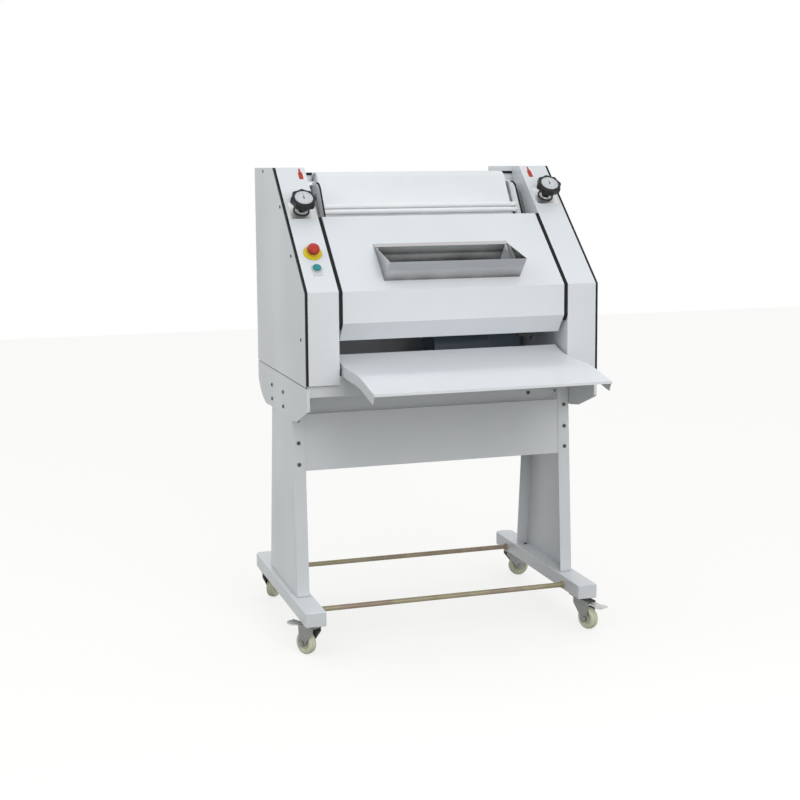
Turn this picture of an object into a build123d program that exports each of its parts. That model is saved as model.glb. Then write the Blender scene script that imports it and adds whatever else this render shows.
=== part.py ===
from build123d import *
import math
import os

os.makedirs("parts", exist_ok=True)

# Driving sizes in millimetres. X runs across the machine, Y to the back, Z up.
# Y is counted from the vertical front of the towers, Z from the floor.
machine_width = 980.0
tower_width = 106.0
tower_depth = 720.0
strip_height = 290.0
slope_rise = 380.0
slope_run = 422.0
caster_height = 109.0
foot_height = 47.0
foot_width = 68.0
foot_front = 9.0
foot_back = 780.0
foot_overhang = 12.0
leg_length = 685.0
leg_width = 44.0
pan_wall = 39.0
tray_reach = 348.0

# Sheet and plate thicknesses
sheet = 2.0
plate = 3.0
frame_plate = 10.0

# Clearances: turning fits, loose guides, felt and chain over wheels, felt on its bed, bolts in holes
running_gap = 0.05
loose_gap = 0.4
belt_gap = 0.3
slip_gap = 0.02
bolt_gap = 0.25
over_cut = 5.0

# Heights and sides that follow from the driving sizes
half_width = machine_width / 2
tower_inner = half_width - tower_width
frame_outer = tower_inner + frame_plate
panel_x = half_width - sheet
leg_outer = half_width - plate
leg_inner = half_width - leg_width
foot_outer = half_width + foot_overhang
foot_inner = foot_outer - foot_width
foot_x = foot_outer - foot_width / 2
foot_top = caster_height + foot_height
leg_top = foot_top + leg_length
pan_floor = leg_top + sheet
tower_bottom = leg_top + pan_wall
panel_bottom = tower_bottom - 6.0
knee_height = tower_bottom + strip_height
tower_top = knee_height + slope_rise

# The origin is on the floor, half way between the tray's tip and the feet's back ends
origin_y = (foot_back - tray_reach) / 2
to_frame = Pos(0, -origin_y, 0)


def save(name, *bodies):
    """Write one node: its solids moved to the row's frame."""
    moved = [to_frame * solid for body in bodies for solid in body.solids()]
    shape = moved[0] if len(moved) == 1 else Compound(children=moved)
    export_step(shape, f"parts/{name}.step")


def polygon(points):
    """Flat face from corner points (y, z)."""
    return make_face(Polyline(*points, close=True))


def slab(face, x_from, x_to):
    """Push a (y, z) face along X from one side to the other."""
    return extrude(Plane.YZ.offset(x_from) * face, amount=x_to - x_from)


def both_sides(body):
    """A right-hand piece with its mirror image."""
    return [body, mirror(body, about=Plane.YZ)]


def cross_rod(y, z, radius, x_from, x_to):
    """Round bar along X."""
    return slab(Pos(y, z) * Circle(radius), x_from, x_to)


def turned(radius, low, high):
    """Upright cylinder from one height to another."""
    return Pos(0, 0, (low + high) / 2) * Cylinder(radius, high - low)


def block(width, depth, low, high):
    """Upright block centred on the axis from one height to another."""
    return Pos(0, 0, (low + high) / 2) * Box(width, depth, high - low)


def height_slice(low, high):
    """Everything between two heights."""
    return block(4 * machine_width, 4 * machine_width, low, high)


def inset_line(points, depth):
    """An open line of (y, z) points moved sideways, to the right of its run."""
    moved = []
    for index, point in enumerate(points):
        before = points[max(index - 1, 0)]
        after = points[min(index + 1, len(points) - 1)]
        shifts = []
        for start, end in ((before, point), (point, after)):
            length = math.dist(start, end)
            if length > 0:
                shifts.append(((end[1] - start[1]) / length, (start[0] - end[0]) / length))
        first, last = shifts[0], shifts[-1]
        scale = depth / (1 + first[0] * last[0] + first[1] * last[1])
        moved.append((point[0] + (first[0] + last[0]) * scale, point[1] + (first[1] + last[1]) * scale))
    return moved


def band(points, shallow, deep):
    """Face between two depths under an open line of (y, z) points."""
    return polygon(inset_line(points, shallow) + inset_line(points, deep)[::-1])


# The sloped front: how far up it and how deep under it a point lies
slope_angle = math.atan2(slope_rise, slope_run)
slope_cos = math.cos(slope_angle)
slope_sin = math.sin(slope_angle)


def slope_point(up, depth=0.0):
    """The (y, z) point at a length up the slope and a depth under it."""
    y = up * slope_cos + depth * slope_sin
    z = knee_height + up * slope_sin - depth * slope_cos
    return (y, z)


def slope_place(y, z):
    """How far up the slope and how deep under it a (y, z) point lies."""
    up = y * slope_cos + (z - knee_height) * slope_sin
    depth = y * slope_sin - (z - knee_height) * slope_cos
    return (up, depth)


def on_slope(body, x, up):
    """Stand a body built on the ground plane on the slope at x, up."""
    y, z = slope_point(up)
    seat = Plane(origin=(x, y, z), x_dir=(1, 0, 0), z_dir=(0, -slope_sin, slope_cos))
    return seat * body


# The wide belt: a straight loop leaning back, on a bottom and a top roller
belt_angle = math.radians(57.0)
belt_length = 536.0
belt_roller = 38.0
belt_felt = 4.0
belt_half = tower_inner - 49.0
belt_shaft = 12.0
bottom_roller_y = 181.0
bottom_roller_z = knee_height - 127.0
belt_face = belt_roller + belt_felt
belt_inside = belt_roller + belt_gap


def belt_point(along, out=0.0):
    """A point counted along the belt from the bottom roller, and out from its middle line."""
    y = bottom_roller_y + along * math.cos(belt_angle) - out * math.sin(belt_angle)
    z = bottom_roller_z + along * math.sin(belt_angle) + out * math.cos(belt_angle)
    return (y, z)


def belt_bar(along_from, along_to, out_from, out_to):
    """Face of a flat piece lying along the belt."""
    corners = [(along_from, out_from), (along_to, out_from), (along_to, out_to), (along_from, out_to)]
    return polygon([belt_point(*corner) for corner in corners])


top_roller_y, top_roller_z = belt_point(belt_length)

# Sheeting rollers behind the pocket; the rear one can be moved in and out under the slope
sheet_roller = 26.0
sheet_gap = 6.0
sheet_tilt = math.radians(20.0)
front_roller_y = 118.0
front_roller_z = knee_height + 15.0
roller_spacing = 2 * sheet_roller + sheet_gap
rear_roller_y = front_roller_y + roller_spacing * math.cos(sheet_tilt)
rear_roller_z = front_roller_z + roller_spacing * math.sin(sheet_tilt)
rear_up, rear_depth = slope_place(rear_roller_y, rear_roller_z)
front_shaft = 12.0
rear_shaft = 10.0
sheet_roller_half = tower_inner - 32.0
roller_travel_in = 14.0
roller_travel_out = 6.0

# Pressure board in front of the belt, moved in and out under the slope
board_gap = 24.0
board_thick = 12.0
board_height = 90.0
board_half = tower_inner - 12.0
board_out = belt_face + board_gap
board_pin = 8.0
board_pin_inset = 20.0
board_pin_along = (board_pin_inset, board_height - board_pin_inset)
board_pins = [belt_point(along, board_out + board_thick / 2) for along in board_pin_along]
board_depth = sum(slope_place(*pin)[1] for pin in board_pins) / len(board_pins)
board_travel_in = 14.0
board_travel_out = 8.0

# Controls on the tower strips: distance across and lengths up the slope
knob_x = tower_inner + 50.0
left_knob_up = 360.0
right_knob_up = 414.0
stop_up = 168.0
start_up = 100.0
screw_radius = 8.0
switch_barrel = 11.0

# Tower outline: up the front and the slope, then over the top and down the back
front_line = [(0.0, tower_bottom), (0.0, knee_height), (slope_run, tower_top)]
back_line = [(slope_run, tower_top), (tower_depth, tower_top), (tower_depth, panel_bottom)]
gasket_width = 7.0
gasket_depth = 10.0
gasket_proud = 1.0
strip_edge = half_width - gasket_width

# Drive: motor under the belt, one chain in the right tower
motor_y = 430.0
motor_z = pan_floor + 87.0
motor_shaft = 10.0
chain_low = tower_inner + 71.0
sprocket_thick = 8.0
chain_high = chain_low + sprocket_thick
shaft_end = chain_high + 3.0
sprocket_radius = 40.0
front_sprocket_radius = 30.0
chain_thick = 8.0

# Feet: rectangular tubes, rounded at the back, with holes for the tie rods
tube_wall = 3.0
tube_edge = 3.0
foot_back_corner = 22.0
foot_front_corner = 5.0
rod_radius = 8.5
rod_places = [foot_front + 126.0, foot_back - 124.0]
rod_drop = 6.5
rod_z = foot_top - foot_height / 2 - rod_drop
rod_depth = 25.0
nut_radius = 12.5
nut_thick = 8.0


def foot_plan(shrink):
    """Plan of a foot seen from above, smaller all round by shrink."""
    plan = Rectangle(foot_width - 2 * shrink, foot_back - foot_front - 2 * shrink)
    plan = fillet(plan.vertices().sort_by(Axis.Y)[2:], foot_back_corner - shrink)
    return fillet(plan.vertices().sort_by(Axis.Y)[:2], foot_front_corner - shrink)


foot_body = extrude(foot_plan(0), amount=foot_height)
foot_body = fillet(foot_body.faces().sort_by(Axis.Z)[-1].edges(), tube_edge)
foot_body = fillet(foot_body.faces().sort_by(Axis.Z)[0].edges(), tube_edge)
foot_body -= Pos(0, 0, tube_wall) * extrude(foot_plan(tube_wall), amount=foot_height - 2 * tube_wall)
foot_right = Pos(foot_x, (foot_front + foot_back) / 2, caster_height) * foot_body
for rod_y in rod_places:
    rod_hole = cross_rod(rod_y, rod_z, rod_radius + bolt_gap, foot_inner - over_cut, foot_inner + over_cut)
    foot_right -= rod_hole

# Tie rods between the feet, each with a nut at both ends
rods = []
for rod_y in rod_places:
    rods.append(cross_rod(rod_y, rod_z, rod_radius, -foot_inner - rod_depth, foot_inner + rod_depth))
    nut_face = Pos(rod_y, rod_z) * (RegularPolygon(nut_radius, 6) - Circle(rod_radius))
    rods += both_sides(slab(nut_face, foot_inner - nut_thick, foot_inner))
save("tie_rods", *rods)

# Legs: folded channels, wider at the foot, open to the inside
leg_foot_front = 183.0
leg_head_front = 222.0
leg_head_back = 508.0
leg_foot_back = 585.0
leg_front_line = [(leg_foot_front, foot_top), (leg_head_front, leg_top)]
leg_back_line = [(leg_head_back, leg_top), (leg_foot_back, foot_top)]
leg_lean = math.atan2(leg_head_front - leg_foot_front, leg_length)
bolt_radius = 4.0
bolt_head = 6.5
bolt_head_thick = 4.0
bolt_end = 4.0
flange_bolt_x = leg_inner + 22.0


def leg_front_y(z):
    """Where the leg's front edge is at a height."""
    return leg_foot_front + math.tan(leg_lean) * (z - foot_top)


def through_flange(radius, x, z, low, high):
    """Round bar square to the leg's front flange, from one depth to another."""
    seat = Pos(x, leg_front_y(z), z) * Rot(X=90 - math.degrees(leg_lean))
    return seat * turned(radius, -high, -low)


leg_right = slab(polygon(leg_front_line + leg_back_line), leg_outer - plate, leg_outer)
leg_right += slab(band(leg_front_line, 0, plate), leg_inner, leg_outer)
leg_right += slab(band(leg_back_line, 0, plate), leg_inner, leg_outer)
leg_right &= height_slice(foot_top, leg_top)

# A tab folded in at each leg's foot, held down on the foot by two bolts
tab_inset = 30.0
tab_bolt_x = leg_inner + 22.0
tab_top = foot_top + plate
tab_middle = ((leg_foot_front + leg_foot_back) / 2, foot_top + plate / 2)
tab_face = Pos(*tab_middle) * Rectangle(leg_foot_back - leg_foot_front - 2 * plate, plate)
leg_right += slab(tab_face, leg_inner, leg_outer)
frame_bolts = []
for tab_bolt_y in (leg_foot_front + tab_inset, leg_foot_back - tab_inset):
    tab_seat = Pos(tab_bolt_x, tab_bolt_y, 0)
    tab_hole = tab_seat * turned(bolt_radius + bolt_gap, foot_top - 2 * over_cut, tab_top + over_cut)
    leg_right -= tab_hole
    foot_right -= tab_hole
    tab_bolt = turned(bolt_head, tab_top, tab_top + bolt_head_thick)
    tab_bolt += turned(bolt_radius, foot_top - tube_wall - bolt_end, tab_top)
    frame_bolts += both_sides(tab_seat * tab_bolt)
foot_right, foot_left = both_sides(foot_right)
save("foot_right", foot_right)
save("foot_left", foot_left)

# Apron: sheet behind the legs' front flanges, folded back at top and bottom
apron_drop = 86.0
apron_height = 185.0
apron_high = leg_top - apron_drop
apron_low = apron_high - apron_height
apron_half = leg_outer - plate - 1.0
apron_fold = 18.0
fold_half = leg_inner - 2.0
apron_bolt_z = [apron_low + share * apron_height for share in (0.12, 0.5, 0.9)]
apron_line = [(leg_front_y(apron_low), apron_low), (leg_front_y(apron_high), apron_high)]
apron = slab(band(apron_line, plate, plate + sheet), -apron_half, apron_half)
for fold_z in (apron_low + sheet, apron_high - sheet):
    fold_y = leg_front_y(fold_z) + plate + apron_fold / 2
    apron += slab(Pos(fold_y, fold_z) * Rectangle(apron_fold, sheet), -fold_half, fold_half)

# Bolts of the apron: heads on the leg flanges, shanks through flange and apron
for bolt_z in apron_bolt_z:
    bolt_hole = through_flange(bolt_radius + bolt_gap, flange_bolt_x, bolt_z, -over_cut, 2 * over_cut)
    leg_right -= bolt_hole
    bolt = through_flange(bolt_head, flange_bolt_x, bolt_z, -bolt_head_thick, 0)
    bolt += through_flange(bolt_radius, flange_bolt_x, bolt_z, 0, plate + sheet + bolt_end)
    frame_bolts += both_sides(bolt)
    for hole in both_sides(bolt_hole):
        apron -= hole
save("apron", apron)

# Lower side plates outside the leg tops, each held by four bolts
panel_seam = 3.0
lower_top = panel_bottom - panel_seam
lower_edge = panel_bottom - 136.0
lower_nose = panel_bottom - 76.0
lower_tail = panel_bottom - 64.0
lower_flat_start = 200.0
lower_flat_end = tower_depth - 175.0
lower_curve_middle = (tower_depth - 58.0, lower_edge + 19.0)
lower_fold = 10.0
lower_front = [(0.0, lower_top), (0.0, lower_nose), (lower_flat_start - 63.0, lower_edge + 9.0)]
lower_front += [(lower_flat_start, lower_edge), (lower_flat_end, lower_edge)]
lower_back = [(tower_depth, lower_tail), (tower_depth, lower_top), lower_front[0]]
lower_outline = Polyline(*lower_front)
lower_outline += ThreePointArc(lower_front[-1], lower_curve_middle, lower_back[0])
lower_outline += Polyline(*lower_back)
lower_plate = slab(make_face(lower_outline), leg_outer, half_width)
nose_middle = (lower_nose + lower_top) / 2
nose_face = Pos(sheet / 2, nose_middle) * Rectangle(sheet, lower_top - lower_nose - 2 * sheet)
lower_plate += slab(nose_face, half_width - lower_fold, half_width)
plate_bolt_y = (leg_head_front + 106.0, leg_head_back - 11.0)
plate_bolt_z = (lower_edge + 29.0, lower_edge + 77.0)
for bolt_y in plate_bolt_y:
    for bolt_z in plate_bolt_z:
        bolt_hole = cross_rod(bolt_y, bolt_z, bolt_radius + bolt_gap, leg_inner, half_width + over_cut)
        lower_plate -= bolt_hole
        leg_right -= bolt_hole
        bolt = cross_rod(bolt_y, bolt_z, bolt_head, half_width, half_width + bolt_head_thick)
        bolt += cross_rod(bolt_y, bolt_z, bolt_radius, leg_outer - plate - bolt_end, half_width)
        frame_bolts += both_sides(bolt)
leg_right, leg_left = both_sides(leg_right)
save("leg_right", leg_right)
save("leg_left", leg_left)
lower_plate_right, lower_plate_left = both_sides(lower_plate)
save("lower_plate_right", lower_plate_right)
save("lower_plate_left", lower_plate_left)

# Base pan: floor on the leg tops, low walls that stand higher between the towers, and a cross beam
pan_front = 12.0
pan_back = tower_depth - 4.0
pan_half = leg_outer - 1.0
pan_line = [(pan_back, tower_bottom - 4.0), (pan_back, leg_top), (pan_front, leg_top)]
pan_line += [(pan_front, tower_bottom - 1.0)]
base_pan = slab(band(pan_line, 0, sheet), -pan_half, pan_half)
pan_rise = 26.0
rise_half = tower_inner - sheet
for rise_y in (pan_front + sheet / 2, pan_back - sheet / 2):
    rise_face = Pos(rise_y, tower_bottom) * Rectangle(sheet, 2 * pan_rise)
    base_pan += slab(rise_face, -rise_half, rise_half)
beam_front = leg_head_front + 18.0
beam_back = beam_front + 40.0
beam_low = apron_high - 3.0
beam_half = leg_inner - 4.0
beam_line = [(beam_back, leg_top), (beam_back, beam_low), (beam_front, beam_low), (beam_front, leg_top)]
base_pan += slab(band(beam_line, 0, plate), -beam_half, beam_half)

# Earth bolt on the front of the cross beam
earth_seat = Pos(tower_inner - 38.0, beam_front, (beam_low + leg_top) / 2 - 16.0) * Rot(X=90)
base_pan -= earth_seat * turned(bolt_radius + bolt_gap, -2 * over_cut, over_cut)
earth_bolt = turned(bolt_head, 0, bolt_head_thick) + turned(bolt_radius, -plate - bolt_end, 0)
frame_bolts.append(earth_seat * earth_bolt)
save("base_pan", base_pan)
save("frame_bolts", *frame_bolts)

# Gaskets: black rubber along the panels' front edges, level with the tower top
gasket_line = front_line[:2] + [slope_point(math.hypot(slope_run, slope_rise) + 2 * gasket_depth)]
panel_gasket = slab(band(gasket_line, -gasket_proud, gasket_depth), strip_edge, half_width)
panel_gasket &= height_slice(tower_bottom, tower_top)
rubber = both_sides(panel_gasket)

# Tower shells: folded strip over front, slope, top and back, stepped in for the gasket
front_flange = 62.0
back_flange = 32.0
gasket_floor = gasket_depth + sheet
shell = slab(band(front_line, 0, sheet), tower_inner, strip_edge)
shell += slab(band(front_line, 0, gasket_floor), strip_edge - sheet, strip_edge)
shell += slab(band(front_line, gasket_depth, gasket_floor), strip_edge - sheet, panel_x)
shell += slab(band(front_line, gasket_depth, gasket_depth + front_flange), panel_x - sheet, panel_x)
shell += slab(band(back_line, 0, sheet), tower_inner, panel_x)
shell += slab(band(back_line, 0, back_flange), panel_x - sheet, panel_x)
shell -= panel_gasket

# Side panels: flat sheets over the towers, held by screws into the shells
panel_outline = [(gasket_depth, panel_bottom), inset_line(front_line, gasket_depth)[1]]
panel_outline += [(slope_run + gasket_depth / slope_sin, tower_top)] + back_line[1:]
side_panel = slab(polygon(panel_outline), panel_x, half_width)
screw_places = [slope_point(413.0, 31.0), slope_point(204.0, 46.0), (65.0, tower_bottom + 138.0)]
screw_places.append((slope_run + 159.0, tower_top - 12.0))
panel_screw = 2.5
panel_head = 5.5
panel_head_thick = 2.5
panel_screw_length = 10.0
panel_screws = []
for screw_y, screw_z in screw_places:
    screw_end = half_width - panel_screw_length
    screw_hole = cross_rod(screw_y, screw_z, panel_screw + bolt_gap, screw_end, half_width + over_cut)
    side_panel -= screw_hole
    shell -= screw_hole
    screw = cross_rod(screw_y, screw_z, panel_head, half_width, half_width + panel_head_thick)
    screw += cross_rod(screw_y, screw_z, panel_screw, screw_end, half_width)
    panel_screws += both_sides(screw)
save("panel_screws", *panel_screws)
side_panel_right, side_panel_left = both_sides(side_panel)
save("side_panel_right", side_panel_right)
save("side_panel_left", side_panel_left)

# Holes in the strips for knobs and switches
knob_hole = turned(screw_radius + 1.0, -over_cut, over_cut)
switch_hole = turned(switch_barrel + bolt_gap, -over_cut, over_cut)
shell_right, shell_left = both_sides(shell)
shell_right -= on_slope(knob_hole, knob_x, right_knob_up)
shell_left -= on_slope(knob_hole, -knob_x, left_knob_up)
for switch_up in (stop_up, start_up):
    shell_left -= on_slope(switch_hole, -knob_x, switch_up)
save("tower_shell_right", shell_right)
save("tower_shell_left", shell_left)

# Side frames: thick plates inside the towers that carry rollers, tray and cover
frame_notch = 20.0
frame_low = tower_bottom + 1.0
frame_back = tower_depth - sheet
frame_top = tower_top - sheet
frame_line = inset_line(front_line + [back_line[1]], sheet)
frame_outline = [(sheet, frame_low), frame_line[1], frame_line[2], (frame_back, frame_top)]
frame_outline += [(frame_back, frame_low), (pan_back - frame_notch, frame_low)]
frame_outline += [(pan_back - frame_notch, pan_floor), (frame_notch, pan_floor), (frame_notch, frame_low)]
side_frame = slab(polygon(frame_outline), tower_inner, frame_outer)
shaft_places = [
    (bottom_roller_y, bottom_roller_z, belt_shaft),
    (top_roller_y, top_roller_z, belt_shaft),
    (front_roller_y, front_roller_z, front_shaft),
    (motor_y, motor_z, motor_shaft),
]
for shaft_y, shaft_z, shaft_radius in shaft_places:
    side_frame -= cross_rod(shaft_y, shaft_z, shaft_radius + loose_gap, tower_inner, frame_outer)


def slope_slot(y, z, radius, travel_out, travel_in):
    """Slot square to the slope for a shaft that is moved in and out."""
    up, depth = slope_place(y, z)
    ends = [slope_point(up, depth - travel_out), slope_point(up, depth + travel_in)]
    face = make_hull([Pos(*end) * Edge.make_circle(radius + loose_gap) for end in ends])
    return slab(face, tower_inner, frame_outer)


side_frame -= slope_slot(rear_roller_y, rear_roller_z, rear_shaft, roller_travel_out, roller_travel_in)
for pin_y, pin_z in board_pins:
    side_frame -= slope_slot(pin_y, pin_z, board_pin, board_travel_out, board_travel_in)

# Front cover: sheet over slope, vertical front and bevel, with folded sides and a lower lip
cover_half = tower_inner - 12.5
cover_top_up = 331.0
cover_front_low = knee_height - 100.0
cover_lip = (46.0, knee_height - 158.0)
cover_fold = 20.0
cover_hem = 16.0
cover_line = [cover_lip, (0.0, cover_front_low), (0.0, knee_height), slope_point(cover_top_up)]
cover = slab(band(cover_line, 0, sheet), -cover_half, cover_half)
for cover_side in both_sides(slab(band(cover_line, 0, cover_fold), cover_half - sheet, cover_half)):
    cover += cover_side
hem_face = Pos(cover_lip[0] + cover_hem / 2, cover_lip[1] + sheet / 2) * Rectangle(cover_hem, sheet)
cover += slab(hem_face, -cover_half, cover_half)

# Opening in the cover's slope behind the pocket
pocket_half = 228.0
pocket_low = 40.0
pocket_high = 201.0
rim = 11.0
opening_half = pocket_half - 6.0
opening_low = pocket_low + 8.0
opening_high = pocket_high - rim
opening_cut = block(2 * opening_half, opening_high - opening_low, -over_cut, over_cut)
cover -= on_slope(opening_cut, 0, (opening_low + opening_high) / 2)

# Cover hinges: a lug on each side of the cover turns on a stud of the side frame
hinge_up = cover_top_up - 15.0
hinge_depth = 16.0
hinge_pin = 5.0
lug_radius = 12.0
lug_thick = 5.0
hinge_y, hinge_z = slope_point(hinge_up, hinge_depth)
hinge_lug = cross_rod(hinge_y, hinge_z, lug_radius, cover_half - lug_thick, cover_half)
hinge_bore = cross_rod(hinge_y, hinge_z, hinge_pin + running_gap, cover_half - lug_thick, cover_half)
for lug, bore in zip(both_sides(hinge_lug), both_sides(hinge_bore)):
    cover = cover + lug - bore
save("front_cover", cover)
side_frame += cross_rod(hinge_y, hinge_z, hinge_pin, cover_half - lug_thick - sheet, tower_inner)

# Pocket hopper: stainless front wall, two triangular sides and rims that lie on the cover
hopper_sheet = 1.5
rim_height = 3.0
hopper_hem = 9.0
wall_foot = slope_point(pocket_low, -hopper_sheet / 2)
wall_head = (-31.0, knee_height + 89.0)
wall_line = [wall_foot, wall_head, (wall_head[0] + hopper_hem, wall_head[1] - 1.0)]
hopper = slab(band(wall_line, 0, hopper_sheet), -pocket_half, pocket_half)
side_tip = slope_point(pocket_high - rim / 2, -hopper_sheet / 2)
side_face = polygon([wall_foot, wall_head, side_tip])
hopper_side = slab(side_face, pocket_half - hopper_sheet, pocket_half)
side_rim = block(rim, pocket_high - pocket_low, 0, hopper_sheet)
hopper_side += on_slope(side_rim, pocket_half - rim / 2, (pocket_high + pocket_low) / 2)
for hopper_part in both_sides(hopper_side):
    hopper += hopper_part
top_rim = rim + 2 * sheet
hopper += on_slope(block(2 * pocket_half, top_rim, 0, rim_height), 0, pocket_high - top_rim / 2)
foot_rim = opening_low - pocket_low + 2 * hopper_sheet
hopper += on_slope(block(2 * pocket_half, foot_rim, 0, hopper_sheet), 0, pocket_low + foot_rim / 2)

# Guides of the hopper: strips bent inward below and above the opening, leading to the rollers
guide_depth = 38.0
guide_drift = 14.0
back_guide_depth = 70.0
back_guide_drift = 5.0
guide_half = opening_half - sheet
guide_up = opening_low + hopper_sheet
guide_line = [slope_point(guide_up + guide_drift, guide_depth), slope_point(guide_up, -hopper_sheet / 2)]
hopper += slab(band(guide_line, 0, hopper_sheet), -guide_half, guide_half)
back_guide_up = opening_high - hopper_sheet
back_guide_foot = slope_point(back_guide_up - back_guide_drift, back_guide_depth)
back_guide_line = [slope_point(back_guide_up, -hopper_sheet / 2), back_guide_foot]
hopper += slab(band(back_guide_line, 0, hopper_sheet), -guide_half, guide_half)
save("pocket_hopper", hopper)

# Bracket under the cover's lip that works the safety switch
bracket_inset = 114.5
bracket_x = cover_half - bracket_inset
bracket_arm = 25.0
bracket_tip = 20.0
bracket_thick = 5.0
bracket_drop = 27.0
lip_y, lip_z = cover_lip
tip_points = [(lip_y + 2.0, lip_z), (lip_y + 14.0, lip_z)]
tip_points += [(lip_y + 14.0, lip_z - bracket_drop), (lip_y + 8.0, lip_z - bracket_drop)]
bracket = slab(polygon(tip_points), bracket_x + bracket_tip, bracket_x + bracket_tip + bracket_thick)
arm_face = Pos(lip_y + 8.0, lip_z - 8.0) * Rectangle(9.0, 7.0)
bracket += slab(arm_face, bracket_x - bracket_arm, bracket_x + bracket_tip)
foot_face = Pos(lip_y + 8.0, lip_z - 3.0) * Rectangle(9.0, 6.0)
bracket += slab(foot_face, bracket_x, bracket_x + bracket_tip)
save("latch_bracket", bracket)

# Gaskets between the cover and the towers
cover_gasket_gap = 1.5
gasket_share = 0.33
gasket_end = (gasket_share * lip_y, cover_front_low + gasket_share * (lip_z - cover_front_low))
cover_gasket_line = [gasket_end, (0.0, cover_front_low), (0.0, knee_height), slope_point(cover_top_up)]
cover_gasket_face = band(cover_gasket_line, -gasket_proud, gasket_depth)
rubber += both_sides(slab(cover_gasket_face, cover_half + cover_gasket_gap, tower_inner))

# Rear cover between the towers, folded forward over the top and down again behind the belt. On both
# sides of the belt it reaches further forward in a wing, up to the top roller's shaft
rear_top = tower_top - 17.0
rear_edge = top_roller_y + 67.0
rear_face = tower_depth - sheet
rear_fold = 90.0
wing_edge = top_roller_y + belt_shaft + 5.0
wing_x = belt_half + 7.0
rear_back = [(rear_face, rear_top), (rear_face, tower_bottom)]
rear_line = [(rear_edge, rear_top - rear_fold), (rear_edge, rear_top)] + rear_back
wing_line = [(wing_edge, rear_top - rear_fold), (wing_edge, rear_top)] + rear_back
web_place = Pos((wing_edge + rear_edge + sheet) / 2, rear_top - rear_fold / 2)
web_face = web_place * Rectangle(rear_edge + sheet - wing_edge, rear_fold)
rear_cover = slab(band(rear_line, 0, sheet), -wing_x, wing_x)
for wing in both_sides(slab(band(wing_line, 0, sheet), wing_x, tower_inner)):
    rear_cover += wing
for web in both_sides(slab(web_face, wing_x, wing_x + sheet)):
    rear_cover += web

# Cable gland's hole in the rear cover
gland_x = tower_inner - 84.0
gland_z = tower_bottom + 50.0
gland_bore = 5.0
gland_thread = 9.0
gland_hex = 13.0
gland_cap = 10.5
gland_hex_thick = 10.0
gland_out = 26.0
gland_in = 14.0
gland_nut = 6.0
gland_seat = Pos(gland_x, rear_face, gland_z) * Rot(X=-90)
rear_cover -= gland_seat * turned(gland_thread + bolt_gap, -over_cut, over_cut)
save("rear_cover", rear_cover)

# Cable gland, open for a supply cable
gland = turned(gland_thread, -gland_in, 0) + turned(gland_hex, 0, gland_hex_thick)
gland += turned(gland_cap, gland_hex_thick, gland_out) + turned(gland_hex, -sheet - gland_nut, -sheet)
gland -= turned(gland_bore, -gland_in, gland_out)
save("cable_gland", gland_seat * gland)

# Slider bed inside the belt, from side frame to side frame
bed_thick = 4.0
bed_margin = 60.0
bed_top = belt_inside - slip_gap
bed_face = belt_bar(bed_margin, belt_length - bed_margin, bed_top - bed_thick, bed_top)
save("belt_bed", slab(bed_face, -tower_inner, tower_inner))

# Cheek plates beside the belt with a level top, slotted over the slider bed and cut round the top
# roller's shaft, with black edging down the front
cheek_low = belt_length - 214.0
cheek_top = top_roller_z + 6.0
cheek_out = belt_face + 47.0
cheek_back = -belt_face - 18.0
cheek_x = belt_half + 10.0
cheek_thick = 3.0
cheek_corner = 52.0
cheek_notch = belt_shaft + 1.5
edging_width = 5.0
edging_thick = 4.6
tip_rise = cheek_top - bottom_roller_z - cheek_out * math.cos(belt_angle)
cheek_tip = belt_point(tip_rise / math.sin(belt_angle), cheek_out)
back_run = top_roller_y - bottom_roller_y + cheek_back * math.sin(belt_angle)
back_bend = belt_point(back_run / math.cos(belt_angle), cheek_back)
cheek_points = [belt_point(cheek_low, cheek_back), belt_point(cheek_low, cheek_out), cheek_tip]
cheek_points += [(top_roller_y, cheek_top), back_bend]
cheek_face = polygon(cheek_points)
cheek_face = fillet(cheek_face.vertices().sort_by_distance(Vector(*cheek_tip))[0], cheek_corner)
edging_reach = cheek_corner * math.tan(belt_angle / 2) + edging_width
edging_path = [(cheek_tip[0] + edging_reach, cheek_top), cheek_tip, belt_point(cheek_low, cheek_out)]
edging_face = trace(FilletPolyline(*edging_path, radius=cheek_corner), edging_width)
edging_x = cheek_x + cheek_thick / 2 - edging_thick / 2
cheek_edging = slab(edging_face, edging_x, edging_x + edging_thick)
cheek = slab(cheek_face - bed_face, cheek_x, cheek_x + cheek_thick) - cheek_edging
cheek -= cross_rod(top_roller_y, top_roller_z, cheek_notch, cheek_x, cheek_x + cheek_thick)
save("belt_cheeks", *both_sides(cheek))
rubber += both_sides(cheek_edging)

# Black strips along the top of the rear cover's wings
wing_strip_thick = 4.0
wing_strip_height = 9.0
wing_strip_place = Pos(wing_edge - wing_strip_thick / 2, rear_top - wing_strip_height / 2)
wing_strip_face = wing_strip_place * Rectangle(wing_strip_thick, wing_strip_height)
rubber += both_sides(slab(wing_strip_face, wing_x, tower_inner))
save("rubber_trims", *rubber)

# Two bars across the belt between the cheeks
guard_radius = 8.0
guard_out = belt_face + 13.0
guard_pitch = 20.5
guard_drop = 142.0
guard_low = belt_length - guard_drop
guard_bars = []
for guard_along in (guard_low, guard_low + guard_pitch):
    guard_y, guard_z = belt_point(guard_along, guard_out)
    guard_bars.append(cross_rod(guard_y, guard_z, guard_radius, -cheek_x, cheek_x))
save("guard_bars", *guard_bars)

# Felt belt around both belt rollers
belt_ends = [(bottom_roller_y, bottom_roller_z), (top_roller_y, top_roller_z)]


def belt_loop(radius):
    """Face inside a loop around both belt rollers."""
    return make_hull([Pos(*end) * Edge.make_circle(radius) for end in belt_ends])


save("felt_belt", slab(belt_loop(belt_face) - belt_loop(belt_inside), -belt_half, belt_half))

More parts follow.
